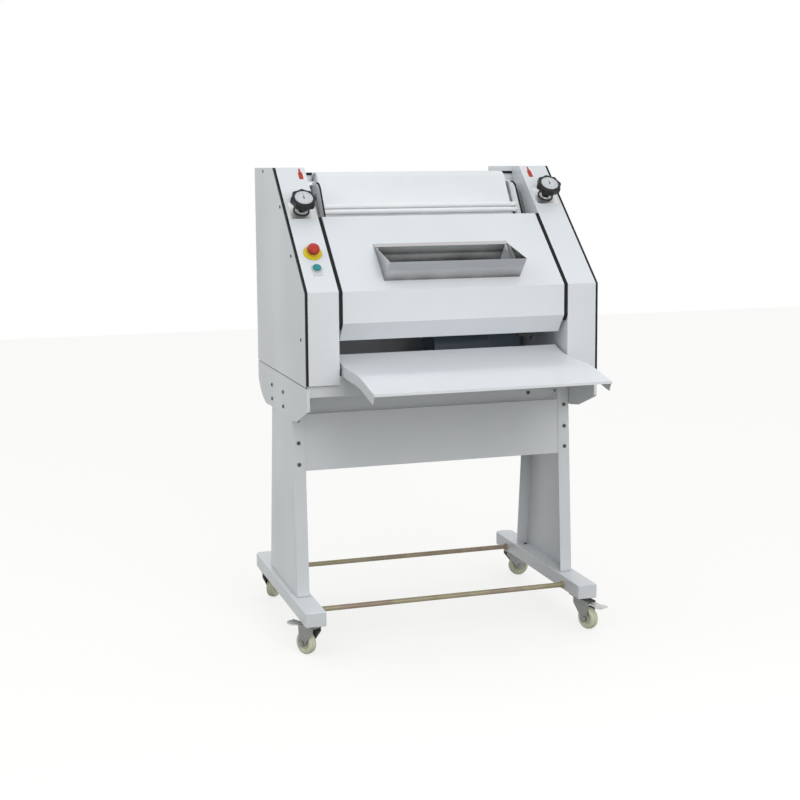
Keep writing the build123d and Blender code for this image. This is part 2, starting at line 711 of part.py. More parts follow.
# Belt rollers with their shafts; the bottom one is driven and has a sprocket
bearing_thick = 8.0
bearing_radius = 30.0
bearing_outer = frame_outer + bearing_thick
belt_roller_half = belt_half + 3.0
top_roller = cross_rod(top_roller_y, top_roller_z, belt_roller, -belt_roller_half, belt_roller_half)
top_roller += cross_rod(top_roller_y, top_roller_z, belt_shaft, -bearing_outer, bearing_outer)
save("top_roller", top_roller)
bottom_roller = cross_rod(bottom_roller_y, bottom_roller_z, belt_roller, -belt_roller_half, belt_roller_half)
bottom_roller += cross_rod(bottom_roller_y, bottom_roller_z, belt_shaft, -bearing_outer, shaft_end)
bottom_roller += cross_rod(bottom_roller_y, bottom_roller_z, sprocket_radius, chain_low, chain_high)
save("bottom_roller", bottom_roller)

# Sheeting rollers; the front one is driven and has a sprocket
slide_thick = 8.0
roller_slide_x = frame_outer + 10.0
roller_slide_end = roller_slide_x + slide_thick
rear_shaft_end = roller_slide_end + 2.0
front_roller = cross_rod(front_roller_y, front_roller_z, sheet_roller, -sheet_roller_half, sheet_roller_half)
front_roller += cross_rod(front_roller_y, front_roller_z, front_shaft, -bearing_outer, shaft_end)
front_roller += cross_rod(front_roller_y, front_roller_z, front_sprocket_radius, chain_low, chain_high)
save("front_roller", front_roller)
rear_roller = cross_rod(rear_roller_y, rear_roller_z, sheet_roller, -sheet_roller_half, sheet_roller_half)
rear_roller += cross_rod(rear_roller_y, rear_roller_z, rear_shaft, -rear_shaft_end, rear_shaft_end)
save("rear_roller", rear_roller)

# Bearings of the fixed rollers on the outside of the side frames
bearings = []
for shaft_y, shaft_z, shaft_radius in shaft_places[:3]:
    ring = Pos(shaft_y, shaft_z) * (Circle(bearing_radius) - Circle(shaft_radius + running_gap))
    bearings += both_sides(slab(ring, frame_outer, bearing_outer))
save("roller_bearings", *bearings)

# Slides of the rear sheeting roller: flat bars under the slope, the left one with a nut lug
slide_half = 25.0
slide_end = 22.0
lug_half = 15.0
roller_slide_rise = 90.0
screw_bore = turned(screw_radius + running_gap, -tower_depth, over_cut)


def under_slope(up_from, up_to, depth, half_depth):
    """Face of a bar lying along the slope, at a depth under it."""
    corners = [(up_from, depth - half_depth), (up_to, depth - half_depth)]
    corners += [(up_to, depth + half_depth), (up_from, depth + half_depth)]
    return polygon([slope_point(*corner) for corner in corners])


slide_low = rear_up - slide_end
right_slide_face = under_slope(slide_low, rear_up + roller_slide_rise, rear_depth, slide_half)
left_slide_face = under_slope(slide_low, left_knob_up + lug_half, rear_depth, slide_half)
left_lug_face = under_slope(left_knob_up - lug_half, left_knob_up + lug_half, rear_depth, lug_half)
roller_slide_right = slab(right_slide_face, roller_slide_x, roller_slide_end)
roller_slide_left = slab(left_slide_face, -roller_slide_end, -roller_slide_x)
roller_slide_left += slab(left_lug_face, -knob_x - lug_half, -roller_slide_end)
roller_slide_left -= on_slope(screw_bore, -knob_x, left_knob_up)
rear_bore = cross_rod(rear_roller_y, rear_roller_z, rear_shaft + running_gap, -half_width, half_width)
save("roller_slides", roller_slide_right - rear_bore, roller_slide_left - rear_bore)

# Pressure board with two pins at each end, running in the frames' slots
board_slide_x = roller_slide_end + slide_thick
board_pin_left = frame_outer + 2.0
board_pin_root = board_half - 5.0
board_face = belt_bar(0, board_height, board_out, board_out + board_thick)
board = slab(board_face, -board_half, board_half)
for pin_y, pin_z in board_pins:
    board += cross_rod(pin_y, pin_z, board_pin, board_pin_root, board_slide_x)
    board += cross_rod(pin_y, pin_z, board_pin, -board_pin_left, -board_pin_root)
save("pressure_board", board)

# Slide of the pressure board in the right tower, with its nut lug
board_slide_end = board_slide_x + slide_thick
board_slide_low = min(slope_place(*pin)[0] for pin in board_pins) - slide_end
board_slide_face = under_slope(board_slide_low, right_knob_up + lug_half, board_depth, slide_half)
right_lug_face = under_slope(right_knob_up - lug_half, right_knob_up + lug_half, board_depth, lug_half)
board_slide = slab(board_slide_face, board_slide_x, board_slide_end)
board_slide += slab(right_lug_face, board_slide_end, knob_x + lug_half)
board_slide -= on_slope(screw_bore, knob_x, right_knob_up)
save("pressure_slide", board_slide)

# Square knob plates with a collar that guides the screw and a ring around it
knob_plate_size = 78.0
knob_plate_thick = 1.5
collar_radius = 14.0
collar_top = 4.5
ring_outer = 27.0
ring_inner = 22.0
ring_top = 5.0
knob_plate = block(knob_plate_size, knob_plate_size, 0, knob_plate_thick)
knob_plate += turned(collar_radius, knob_plate_thick, collar_top)
knob_plate += turned(ring_outer, 0, ring_top) - turned(ring_inner, 0, ring_top)
knob_plate -= turned(screw_radius + running_gap, 0, collar_top)
knob_plate_left = on_slope(knob_plate, -knob_x, left_knob_up)
knob_plate_right = on_slope(knob_plate, knob_x, right_knob_up)
save("knob_plates", knob_plate_left, knob_plate_right)

# Adjusting knobs: lobed head on a flared neck, with a round recess for the dial
knob_radius = 39.5
lobe_count = 8
lobe_ring = 34.0
lobe_radius = 9.0
neck_radius = 12.5
neck_flare = 23.0
neck_low = collar_top + 1.0
knob_low = neck_low + 30.5
knob_high = knob_low + 25.0
dial_radius = 30.0
dial_depth = 2.0
screw_top = neck_low + 42.5
screw_tip = 12.0
knob_plan = Circle(knob_radius) + PolarLocations(lobe_ring, lobe_count) * Circle(lobe_radius)
knob = extrude(Plane.XY.offset(knob_low) * knob_plan, amount=knob_high - knob_low)
neck_shape = Cone(neck_radius, neck_flare, knob_low - neck_low)
knob += Pos(0, 0, (neck_low + knob_low) / 2) * neck_shape
knob -= turned(dial_radius, knob_high - dial_depth, knob_high)
knob -= turned(screw_radius, neck_low, screw_top)
save("knob_left", on_slope(knob, -knob_x, left_knob_up))
save("knob_right", on_slope(knob, knob_x, right_knob_up))
left_screw_end = rear_depth + lug_half + roller_travel_in + screw_tip
right_screw_end = board_depth + lug_half + board_travel_in + screw_tip
left_screw = turned(screw_radius, -left_screw_end, screw_top)
right_screw = turned(screw_radius, -right_screw_end, screw_top)
save("knob_screw_left", on_slope(left_screw, -knob_x, left_knob_up))
save("knob_screw_right", on_slope(right_screw, knob_x, right_knob_up))

# Emergency stop: yellow collar with its switch block, red mushroom head on a stem
barrel_low = -14.0
stop_plate = 30.0
stop_plate_thick = 4.0
stop_ring = 18.0
stop_ring_top = 8.0
stop_block = 38.0
stop_block_low = -50.0
stop_stem = 8.0
stop_stem_low = -12.0
stop_travel = 4.0
stop_head_radius = 20.0
stop_head_low = 14.0
stop_head_high = 31.0
stop_head_round = 7.0
stop_bore_low = stop_stem_low - stop_travel - 2.0
stop_collar = turned(stop_plate, 0, stop_plate_thick) + turned(stop_ring, stop_plate_thick, stop_ring_top)
stop_collar += turned(switch_barrel, barrel_low, 0)
stop_collar += block(stop_block, stop_block, stop_block_low, barrel_low)
stop_collar -= turned(stop_stem + loose_gap, stop_bore_low, stop_ring_top)
save("estop_collar", on_slope(stop_collar, -knob_x, stop_up))
stop_head = turned(stop_head_radius, stop_head_low, stop_head_high)
stop_head = fillet(stop_head.faces().sort_by(Axis.Z)[-1].edges(), stop_head_round)
stop_head += turned(stop_stem, stop_stem_low, stop_head_low)
save("estop_head", on_slope(stop_head, -knob_x, stop_up))

# Start button: bezel on a blank tag plate, green cap on a stem
tag_width = 30.0
tag_height = 44.0
tag_drop = 7.0
tag_thick = 1.2
bezel_radius = 15.6
bezel_top = 6.0
start_block = 28.0
start_block_low = -44.0
cap_radius = 13.2
cap_low = 4.6
cap_high = 10.0
cap_stem = 5.0
cap_stem_low = -6.0
start_bezel = Pos(0, -tag_drop, 0) * block(tag_width, tag_height, 0, tag_thick)
start_bezel += turned(bezel_radius, 0, bezel_top) + turned(switch_barrel, barrel_low, 0)
start_bezel += block(start_block, start_block, start_block_low, barrel_low)
start_bezel -= turned(cap_radius + loose_gap, tag_thick, bezel_top)
start_bezel -= turned(cap_stem + loose_gap, barrel_low, tag_thick)
save("start_bezel", on_slope(start_bezel, -knob_x, start_up))
start_cap = turned(cap_radius, cap_low, cap_high) + turned(cap_stem, cap_stem_low, cap_low)
save("start_button", on_slope(start_cap, -knob_x, start_up))

# Gear motor standing on the pan floor
gearbox_size = 120.0
gearbox_right = tower_inner - 14.0
gearbox_left = gearbox_right - gearbox_size
motor_radius = 70.0
motor_length = 200.0
motor_foot_width = 90.0
motor_foot_inset = 10.0
shaft_depth = 40.0
gearbox_face = Pos(motor_y, motor_z) * Rectangle(gearbox_size, gearbox_size)
gear_motor = slab(gearbox_face, gearbox_left, gearbox_right)
gear_motor += cross_rod(motor_y, motor_z, motor_radius, gearbox_left - motor_length, gearbox_left)
motor_foot = Pos(motor_y, (pan_floor + motor_z) / 2) * Rectangle(motor_foot_width, motor_z - pan_floor)
gear_motor += slab(motor_foot, gearbox_left + motor_foot_inset, gearbox_right - motor_foot_inset)
motor_bore_radius = motor_shaft + running_gap
gear_motor -= cross_rod(motor_y, motor_z, motor_bore_radius, gearbox_right - shaft_depth, gearbox_right)
save("gear_motor", gear_motor)

# Motor sprocket on its shaft, and the chain to both driven rollers
motor_shaft_start = gearbox_right - shaft_depth + 2.0
motor_sprocket = cross_rod(motor_y, motor_z, motor_shaft, motor_shaft_start, shaft_end)
motor_sprocket += cross_rod(motor_y, motor_z, sprocket_radius, chain_low, chain_high)
save("motor_sprocket", motor_sprocket)
chain_wheels = [
    (motor_y, motor_z, sprocket_radius),
    (bottom_roller_y, bottom_roller_z, sprocket_radius),
    (front_roller_y, front_roller_z, front_sprocket_radius),
]


def chain_loop(extra):
    """Face inside the chain's run around the three sprockets."""
    return make_hull([Pos(y, z) * Edge.make_circle(radius + extra) for y, z, radius in chain_wheels])


chain_face = chain_loop(belt_gap + chain_thick) - chain_loop(belt_gap)
save("drive_chain", slab(chain_face, chain_low - 1.0, chain_high + 1.0))

# Control box on the left side frame, inside the tower
box_width = 76.0
box_depth = 170.0
box_height = 220.0
box_edge = 6.0
control_box = Box(box_width, box_depth, box_height)
control_box = fillet(control_box.edges().filter_by(Axis.X), box_edge)
box_place = Pos(-frame_outer - box_width / 2, tower_depth - 150.0, tower_bottom + 170.0)
save("control_box", box_place * control_box)

# Outfeed tray: curved sheet with folded sides and a front lip, hung on studs of the side frames
tray_half = tower_inner - 8.0
tray_hem = 33.0
tray_hem_cut = 15.0
tray_lip = 8.0
tray_tip = (sheet - tray_reach, knee_height - 269.0)
tray_bends = [(81.0, knee_height - 207.0), (36.0, knee_height - 222.0)]
tray_bends += [(-0.12 * tray_reach, knee_height - 233.0), (-0.36 * tray_reach, knee_height - 236.0)]
tray_bends += [(-0.56 * tray_reach, knee_height - 240.0), (-0.77 * tray_reach, knee_height - 254.0)]
tray_bends.append(tray_tip)
tray = slab(trace(Spline(*tray_bends), sheet), -tray_half, tray_half)
hem_curve = Spline(*[(y, z - tray_hem / 2) for y, z in tray_bends])
tray_side = slab(trace(hem_curve, tray_hem), tray_half - sheet, tray_half)
stud_radius = 5.0
for stud_share in (0.04, 0.13):
    stud_place = hem_curve @ stud_share
    tray_side -= cross_rod(stud_place.X, stud_place.Y, stud_radius, tray_half - sheet, tray_half)
    side_frame += cross_rod(stud_place.X, stud_place.Y, stud_radius, tray_half - over_cut, tower_inner)
cut_points = [tray_tip, (tray_tip[0] + tray_hem_cut, tray_tip[1] - tray_hem)]
cut_points += [(tray_tip[0] + tray_hem_cut, tray_tip[1] - 2 * tray_hem)]
cut_points += [(tray_tip[0] - tray_hem, tray_tip[1] - 2 * tray_hem), (tray_tip[0] - tray_hem, tray_tip[1])]
tray_side -= slab(polygon(cut_points), tray_half - sheet, tray_half)
for hem in both_sides(tray_side):
    tray += hem
lip_middle = (tray_tip[0] - sheet / 2, tray_tip[1] + sheet / 2 - tray_lip / 2)
lip_face = Pos(*lip_middle) * Rectangle(sheet, tray_lip)
tray += slab(lip_face, -tray_half, tray_half)
save("outfeed_tray", tray)
side_frame_right, side_frame_left = both_sides(side_frame)
save("side_frame_right", side_frame_right)
save("side_frame_left", side_frame_left)

# Caster top plates: plate under the foot with a race that holds the fork's king pin
wheel_radius = 37.5
wheel_width = 28.0
caster_trail = 32.0
axle_radius = 4.0
king_pin = 5.0
king_pin_length = 4.5
race_radius = 22.0
race_thick = 6.0
caster_plate_size = 64.0
caster_front_inset = 50.0
caster_back_inset = 78.0
race_top = caster_height - plate
race_low = race_top - race_thick
caster_turns = {"front_left": 117.0, "front_right": -70.0, "back_right": 0.0, "back_left": 50.0}
caster_plate = block(caster_plate_size, caster_plate_size, race_top, caster_height)
caster_plate += turned(race_radius, race_low, race_top)
caster_plate -= turned(king_pin + running_gap, race_low, race_low + king_pin_length)

# Caster forks trail along +X until they are turned; the axle is riveted into the ears
fork_top = race_low - loose_gap
fork_crown = 5.0
fork_inner = wheel_width / 2 + 2.0
fork_sheet = 3.0
fork_outer = fork_inner + fork_sheet
fork_tail = 20.0
fork_nose = 28.0
ear_width = 12.0
ear_drop = 12.0
rivet_head = 8.0
rivet_thick = 3.0
pedal_pivot_x = 40.0
pedal_pivot_z = caster_height - 23.0
pedal_pin = 3.0
ear_nose = pedal_pivot_x + 9.0


def side_slab(points, y_from, y_to):
    """Push a face of (x, z) points along Y."""
    face = Plane.XZ.offset(-y_from) * polygon(points)
    return extrude(face, amount=y_from - y_to)


def axle_bar(radius, x, z, y_from, y_to):
    """Round bar along Y."""
    return Pos(x, (y_from + y_to) / 2, z) * Rot(X=90) * Cylinder(radius, y_to - y_from)


def caster_fork(braked):
    """Crown with king pin, two ears, riveted axle, and a pin for the pedal if it has one."""
    crown_low = fork_top - fork_crown
    fork = turned(race_radius, crown_low, fork_top)
    fork += turned(king_pin, fork_top, race_low + king_pin_length - loose_gap)
    crown_middle = (fork_nose - fork_tail) / 2
    fork += Pos(crown_middle, 0, 0) * block(fork_nose + fork_tail, 2 * fork_outer, crown_low, fork_top)
    ear = [(-fork_tail, crown_low), (-fork_tail, crown_low - ear_drop)]
    ear += [(caster_trail - ear_width, wheel_radius - 4.0), (caster_trail - 6.0, wheel_radius - ear_width)]
    ear += [(caster_trail + 6.0, wheel_radius - ear_width), (caster_trail + ear_width, wheel_radius - 4.0)]
    ear += [(ear_nose, pedal_pivot_z - 6.0), (ear_nose, fork_top - 3.0), (fork_nose, fork_top)]
    fork += side_slab(ear, fork_inner, fork_outer)
    fork += side_slab(ear, -fork_outer, -fork_inner)
    fork += axle_bar(axle_radius, caster_trail, wheel_radius, -fork_outer, fork_outer)
    rivet_end = fork_outer + rivet_thick
    fork += axle_bar(rivet_head, caster_trail, wheel_radius, fork_outer, rivet_end)
    fork += axle_bar(rivet_head, caster_trail, wheel_radius, -rivet_end, -fork_outer)
    if braked:
        fork += axle_bar(pedal_pin, pedal_pivot_x, pedal_pivot_z, -fork_outer, fork_outer)
    return fork


# Caster wheels: rounded tread, recessed hub, bored for the axle
tread_round = 5.0
hub_radius = 22.0
hub_depth = 3.0
wheel_half = wheel_width / 2
caster_wheel = axle_bar(wheel_radius, caster_trail, wheel_radius, -wheel_half, wheel_half)
caster_wheel = fillet(caster_wheel.edges().filter_by(GeomType.CIRCLE), tread_round)
caster_wheel -= axle_bar(hub_radius, caster_trail, wheel_radius, wheel_half - hub_depth, wheel_half)
caster_wheel -= axle_bar(hub_radius, caster_trail, wheel_radius, -wheel_half, hub_depth - wheel_half)
caster_wheel -= axle_bar(axle_radius + running_gap, caster_trail, wheel_radius, -wheel_half, wheel_half)

# Brake pedals: a bent strip on the pin between the fork's ears, ending in a wide paddle
pedal_reach = 108.0
pedal_thick = 4.0
pedal_half = fork_inner - 1.0
pedal_barrel = 6.0
paddle_width = 42.0
paddle_length = 30.0
paddle_corner = 8.0
paddle_x = pedal_reach - paddle_length / 2
pedal_line = [(pedal_pivot_x - 4.0, pedal_pivot_z + 6.0), (pedal_pivot_x + 14.0, pedal_pivot_z + 7.0)]
pedal_line += [(pedal_reach - 15.0, pedal_pivot_z + 2.0), (pedal_reach, pedal_pivot_z + 8.0)]
pedal_strip = pedal_line + inset_line(pedal_line, pedal_thick)[::-1]
brake_pedal = side_slab(pedal_strip, -pedal_half, pedal_half)
brake_pedal += axle_bar(pedal_barrel, pedal_pivot_x, pedal_pivot_z, -pedal_half, pedal_half)
paddle = block(paddle_length, paddle_width, pedal_pivot_z, pedal_pivot_z + pedal_thick)
paddle = fillet(paddle.edges().filter_by(Axis.Z), paddle_corner)
brake_pedal += Pos(paddle_x, 0, 0) * paddle
brake_pedal -= axle_bar(pedal_pin + running_gap, pedal_pivot_x, pedal_pivot_z, -pedal_half, pedal_half)

# The four casters under the ends of the feet, turned as they stand in use
caster_plates = []
for corner, turn in caster_turns.items():
    corner_x = foot_x if corner.endswith("right") else -foot_x
    braked = corner.startswith("front")
    corner_y = foot_front + caster_front_inset if braked else foot_back - caster_back_inset
    seat = Pos(corner_x, corner_y, 0)
    stand = seat * Rot(Z=turn)
    caster_plates.append(seat * caster_plate)
    save(f"caster_fork_{corner}", stand * caster_fork(braked))
    save(f"caster_wheel_{corner}", stand * caster_wheel)
    if braked:
        save(f"brake_pedal_{corner}", stand * brake_pedal)
save("caster_plates", *caster_plates)
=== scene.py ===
import math

import bmesh
import bpy
from mathutils import Matrix, Vector


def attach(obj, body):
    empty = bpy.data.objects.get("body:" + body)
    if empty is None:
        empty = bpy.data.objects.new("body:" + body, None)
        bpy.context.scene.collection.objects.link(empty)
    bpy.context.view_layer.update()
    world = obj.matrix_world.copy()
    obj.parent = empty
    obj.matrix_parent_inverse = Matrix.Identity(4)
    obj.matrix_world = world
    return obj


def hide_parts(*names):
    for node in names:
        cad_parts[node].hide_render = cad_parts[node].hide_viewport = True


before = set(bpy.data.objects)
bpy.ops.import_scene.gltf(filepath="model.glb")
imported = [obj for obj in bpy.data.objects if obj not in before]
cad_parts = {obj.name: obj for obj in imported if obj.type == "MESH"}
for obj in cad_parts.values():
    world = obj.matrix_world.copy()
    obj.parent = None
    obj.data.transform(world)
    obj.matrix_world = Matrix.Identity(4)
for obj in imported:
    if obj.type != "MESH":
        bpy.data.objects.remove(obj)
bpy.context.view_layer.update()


# Feet: rectangular steel tubes, rounded at the back, welded shut and powder coated white.
# The coat has a fine orange peel, a little dirt with painted shade in its corners, and paler edges, partly
# thin coat and partly a painted highlight.
def add_node(tree, kind, inputs=None, **settings):
    """A new node with its settings; an input is a plain value, a colour or a socket to join."""
    node = tree.nodes.new(kind)
    for name, value in settings.items():
        setattr(node, name, value)
    for name, value in (inputs or {}).items():
        if isinstance(value, bpy.types.NodeSocket):
            tree.links.new(value, node.inputs[name])
        elif node.inputs[name].type == "RGBA":
            node.inputs[name].default_value = (*value, 1.0)
        else:
            node.inputs[name].default_value = value
    return node


def add_output(tree, kind, inputs=None, output=0, **settings):
    """An output of a new node, the first one or a named one."""
    return add_node(tree, kind, inputs, **settings).outputs[output]


def start_finish(name):
    """A new material with an empty node tree."""
    material = bpy.data.materials.new(name)
    material.use_nodes = True
    material.node_tree.nodes.clear()
    return material, material.node_tree


def close_finish(tree, inputs):
    """The finish's shader, joined to the material's output."""
    shader = add_output(tree, "ShaderNodeBsdfPrincipled", inputs)
    add_node(tree, "ShaderNodeOutputMaterial", {"Surface": shader})


def start_group(name, inputs, outputs):
    """A shader node group with named number inputs and outputs."""
    group = bpy.data.node_groups.new(name, "ShaderNodeTree")
    for way, labels in (("INPUT", inputs), ("OUTPUT", outputs)):
        for label in labels:
            group.interface.new_socket(label, in_out=way, socket_type="NodeSocketFloat")
    return group, add_node(group, "NodeGroupInput").outputs


full_span = (0.0, 1.0)
noise_middle = (0.35, 0.65)
noise_most = (0.3, 0.7)


def spread(tree, value, span, wanted):
    """Map a span of a noise or a mask to a wanted span."""
    inputs = {"Value": value, "From Min": span[0], "From Max": span[1]}
    inputs.update({"To Min": wanted[0], "To Max": wanted[1]})
    return add_output(tree, "ShaderNodeMapRange", inputs)


def mixed(tree, mask, span, first, second, most=1.0):
    """Two colours mixed over a span of a mask, with at most a share of the second."""
    # The node's sockets for colours are inputs 6 and 7 and output 2.
    inputs = {0: spread(tree, mask, span, (0.0, most)), 6: first, 7: second}
    return add_output(tree, "ShaderNodeMix", inputs, 2, data_type="RGBA")


def bumped(tree, height, strength, depth):
    """A normal from a height."""
    inputs = {"Height": height, "Strength": strength, "Distance": depth}
    return add_output(tree, "ShaderNodeBump", inputs)


wear_sizes = ["Fine Scale", "Broad Scale", "Edge Radius", "Corner Reach"]
surface_wear_and_shade, wear_in = start_group("surface_wear_and_shade", wear_sizes, ["Fine", "Broad", "Edge", "Corner"])
wear_place = add_output(surface_wear_and_shade, "ShaderNodeTexCoord", output="Object")
fine_inputs = {"Vector": wear_place, "Scale": wear_in["Fine Scale"], "Detail": 2.0}
fine_noise = add_output(surface_wear_and_shade, "ShaderNodeTexNoise", fine_inputs)
broad_inputs = {"Vector": wear_place, "Scale": wear_in["Broad Scale"], "Detail": 4.0}
broad_noise = add_output(surface_wear_and_shade, "ShaderNodeTexNoise", broad_inputs)
edge_normal = add_output(surface_wear_and_shade, "ShaderNodeBevel", {"Radius": wear_in["Edge Radius"]}, samples=4)
flat_normal = add_output(surface_wear_and_shade, "ShaderNodeNewGeometry", output="Normal")
edge_inputs = {0: edge_normal, 1: flat_normal}
edge_dot = add_output(surface_wear_and_shade, "ShaderNodeVectorMath", edge_inputs, "Value", operation="DOT_PRODUCT")
edge_bend = (1.0, 0.8)
edge_mask = spread(surface_wear_and_shade, edge_dot, edge_bend, full_span)
# The corner mask follows ambient occlusion; finishes mix painted shade and dust into corners by it.
corner_inputs = {"Distance": wear_in["Corner Reach"]}
corner_light = add_output(surface_wear_and_shade, "ShaderNodeAmbientOcclusion", corner_inputs, "AO", samples=6)
corner_shade = (0.9, 0.35)
corner_mask = spread(surface_wear_and_shade, corner_light, corner_shade, full_span)
corner_grain = {0: corner_mask, 1: broad_noise}
corner_dust_and_shade = add_output(surface_wear_and_shade, "ShaderNodeMath", corner_grain, operation="MULTIPLY")
wear_and_shade_outputs = {"Fine": fine_noise, "Broad": broad_noise, "Edge": edge_mask, "Corner": corner_dust_and_shade}
add_node(surface_wear_and_shade, "NodeGroupOutput", wear_and_shade_outputs)


def add_wear(tree, fine, broad, edge=0.002, reach=0.03):
    """The group of masks for worn edges, grain and painted shade, placed in a material with its own sizes.
    """
    sizes = {"Fine Scale": fine, "Broad Scale": broad, "Edge Radius": edge, "Corner Reach": reach}
    return add_node(tree, "ShaderNodeGroup", sizes, node_tree=surface_wear_and_shade).outputs


coat_dust_and_shade = (0.42, 0.41, 0.38)
coat_rubbed_and_highlight = (0.93, 0.94, 0.95)


def powder_coat(name, colour, shade, dust_and_shade=0.5):
    """Powder coat on steel, with a share of grey in its corners, partly dirt and partly painted shade, and
    paler edges, partly worn and partly a painted highlight.
    """
    material, tree = start_finish(name)
    wear_and_shade = add_wear(tree, fine=520.0, broad=3.5)
    body = mixed(tree, wear_and_shade["Broad"], noise_middle, colour, shade)
    dusty_and_shaded = mixed(tree, wear_and_shade["Corner"], full_span, body, coat_dust_and_shade, most=dust_and_shade)
    rubbed_and_highlit = mixed(tree, wear_and_shade["Edge"], full_span, dusty_and_shaded, coat_rubbed_and_highlight, most=0.22)
    rough = spread(tree, wear_and_shade["Broad"], noise_most, (0.34, 0.46))
    peel = bumped(tree, wear_and_shade["Fine"], strength=0.1, depth=0.0006)
    close_finish(tree, {"Base Color": rubbed_and_highlit, "Roughness": rough, "Normal": peel, "Coat Weight": 0.08})
    return material


white_coat = powder_coat("white_powder_coat", (0.765, 0.785, 0.81), (0.735, 0.757, 0.78))
merge_distance = 0.000002
wide_face = 0.005
rim_angle = math.radians(58.0)
fold_angle = math.radians(20.0)
flat_angle = math.radians(0.5)
sheet_rim = 0.0004


def sharp_edges(form, least_angle, wide, convex):
    """Edges sharper than an angle, either folds between two wide faces or the rims of a sheet."""
    found = []
    for side in form.edges:
        if len(side.link_faces) != 2 or side.calc_face_angle(0.0) < least_angle:
            continue
        narrowest = min(2 * face.calc_area() / face.calc_perimeter() for face in side.link_faces)
        if (narrowest > wide_face) == wide and convex in (None, side.is_convex):
            found.append(side)
    return found


def plain_mesh(piece):
    """Turn a piece with modifiers into a plain mesh."""
    graph = bpy.context.evaluated_depsgraph_get()
    shown = piece.evaluated_get(graph)
    made = bpy.data.meshes.new_from_object(shown, preserve_all_data_layers=True, depsgraph=graph)
    piece.modifiers.clear()
    piece.data = made


def new_object(name, data):
    """A new object in the scene."""
    made = bpy.data.objects.new(name, data)
    bpy.context.scene.collection.objects.link(made)
    return made


def make_piece(name, form, material, smooth_angle=40.0):
    """A piece from a bmesh, smooth except over sharp edges."""
    mesh = bpy.data.meshes.new(name)
    form.to_mesh(mesh)
    form.free()
    if "custom_normal" in mesh.attributes:
        mesh.attributes.remove(mesh.attributes["custom_normal"])
    mesh.polygons.foreach_set("use_smooth", [True] * len(mesh.polygons))
    mesh.set_sharp_from_angle(angle=math.radians(smooth_angle))
    mesh.materials.clear()
    mesh.materials.append(material)
    piece = new_object(name, mesh)
    even = piece.modifiers.new("even_normals", "WEIGHTED_NORMAL")
    even.keep_sharp = True
    plain_mesh(piece)
    return piece


def fit_piece(piece, body, slot, *nodes):
    """Let a piece ride on its body and stand for CAD nodes; the slot is not used."""
    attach(piece, body)
    if nodes:
        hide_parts(*nodes)


def place_piece(name, form, material, body, slot, *nodes, seat=Matrix(), smooth_angle=40.0):
    """A piece from a bmesh, moved to its seat, that rides on its body and stands for CAD nodes."""
    form.transform(seat)
    piece = make_piece(name, form, material, smooth_angle)
    fit_piece(piece, body, slot, *nodes)
    return piece


def rounded_copy(node, material, body, slot, fold, rim=sheet_rim):
    """A CAD node with its folds rounded and its rims broken, shown in the node's place."""
    form = bmesh.new()
    form.from_mesh(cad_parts[node].data)
    bmesh.ops.remove_doubles(form, verts=form.verts[:], dist=merge_distance)
    bmesh.ops.dissolve_limit(form, angle_limit=flat_angle, verts=form.verts[:], edges=form.edges[:])
    # Each step has a least angle, folds or rims, outer or inner ones, an offset and segments.
    steps = [(fold_angle, True, True, fold, 4), (fold_angle, True, False, fold / 3, 2)]
    steps.append((rim_angle, False, None, rim, 1))
    for least_angle, wide, convex, offset, segments in steps:
        edges = sharp_edges(form, least_angle, wide, convex)
        bmesh.ops.bevel(form, geom=edges, offset=offset, segments=segments, profile=0.5,
                        affect="EDGES", clamp_overlap=True)
    place_piece(node + "_shaped", form, material, body, slot, node)


def coated_sheets(*nodes, fold):
    """White coated pieces of the frame, with folds of one radius."""
    for node in nodes:
        rounded_copy(node, white_coat, "frame", "white_paint", fold)


coated_sheets("foot_left", "foot_right", fold=0.002)

# Legs and apron: channels and a cross sheet folded from 3 mm and 2 mm steel, coated like the feet.
# The apron lies behind the legs' front flanges and is bolted to them.
coated_sheets("leg_left", "leg_right", "apron", fold=0.003)


# Tie rods: plated steel bars between the feet, nutted at both ends.
# Their yellow passivation shimmers from straw to green and pink.
def paint_nodes(material, *nodes):
    """Give CAD nodes that keep their shape a finish."""
    for node in nodes:
        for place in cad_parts[node].material_slots:
            place.material = material


rod_finish, rod_tree = start_finish("yellow_passivated_zinc")
rod_wear = add_wear(rod_tree, fine=900.0, broad=9.0)
rod_ramp = add_node(rod_tree, "ShaderNodeValToRGB", {"Fac": rod_wear["Broad"]})
rod_tints = [(0.3, (0.33, 0.29, 0.17)), (0.45, (0.4, 0.35, 0.23))]
rod_tints += [(0.56, (0.34, 0.255, 0.2)), (0.7, (0.32, 0.32, 0.19))]
rod_stops = rod_ramp.color_ramp.elements
for stop, (tint_place, tint) in zip(rod_stops, (rod_tints[0], rod_tints[-1])):
    stop.position = tint_place
    stop.color = (*tint, 1.0)
for tint_place, tint in rod_tints[1:-1]:
    rod_stops.new(tint_place).color = (*tint, 1.0)
rod_rough = spread(rod_tree, rod_wear["Fine"], noise_most, (0.44, 0.58))
rod_inputs = {"Base Color": rod_ramp.outputs["Color"], "Metallic": 0.3, "Roughness": rod_rough}
rod_inputs["Normal"] = bumped(rod_tree, rod_wear["Fine"], strength=0.08, depth=0.0004)
close_finish(rod_tree, rod_inputs)
paint_nodes(rod_finish, "tie_rods")


# Casters: zinc-plated forks under top plates, with riveted axles; the front ones have pedals.
# The plating has a fine spangle, and a near-black painted shade is mixed into its corners.
plating_corner_shade = (0.1, 0.1, 0.1)


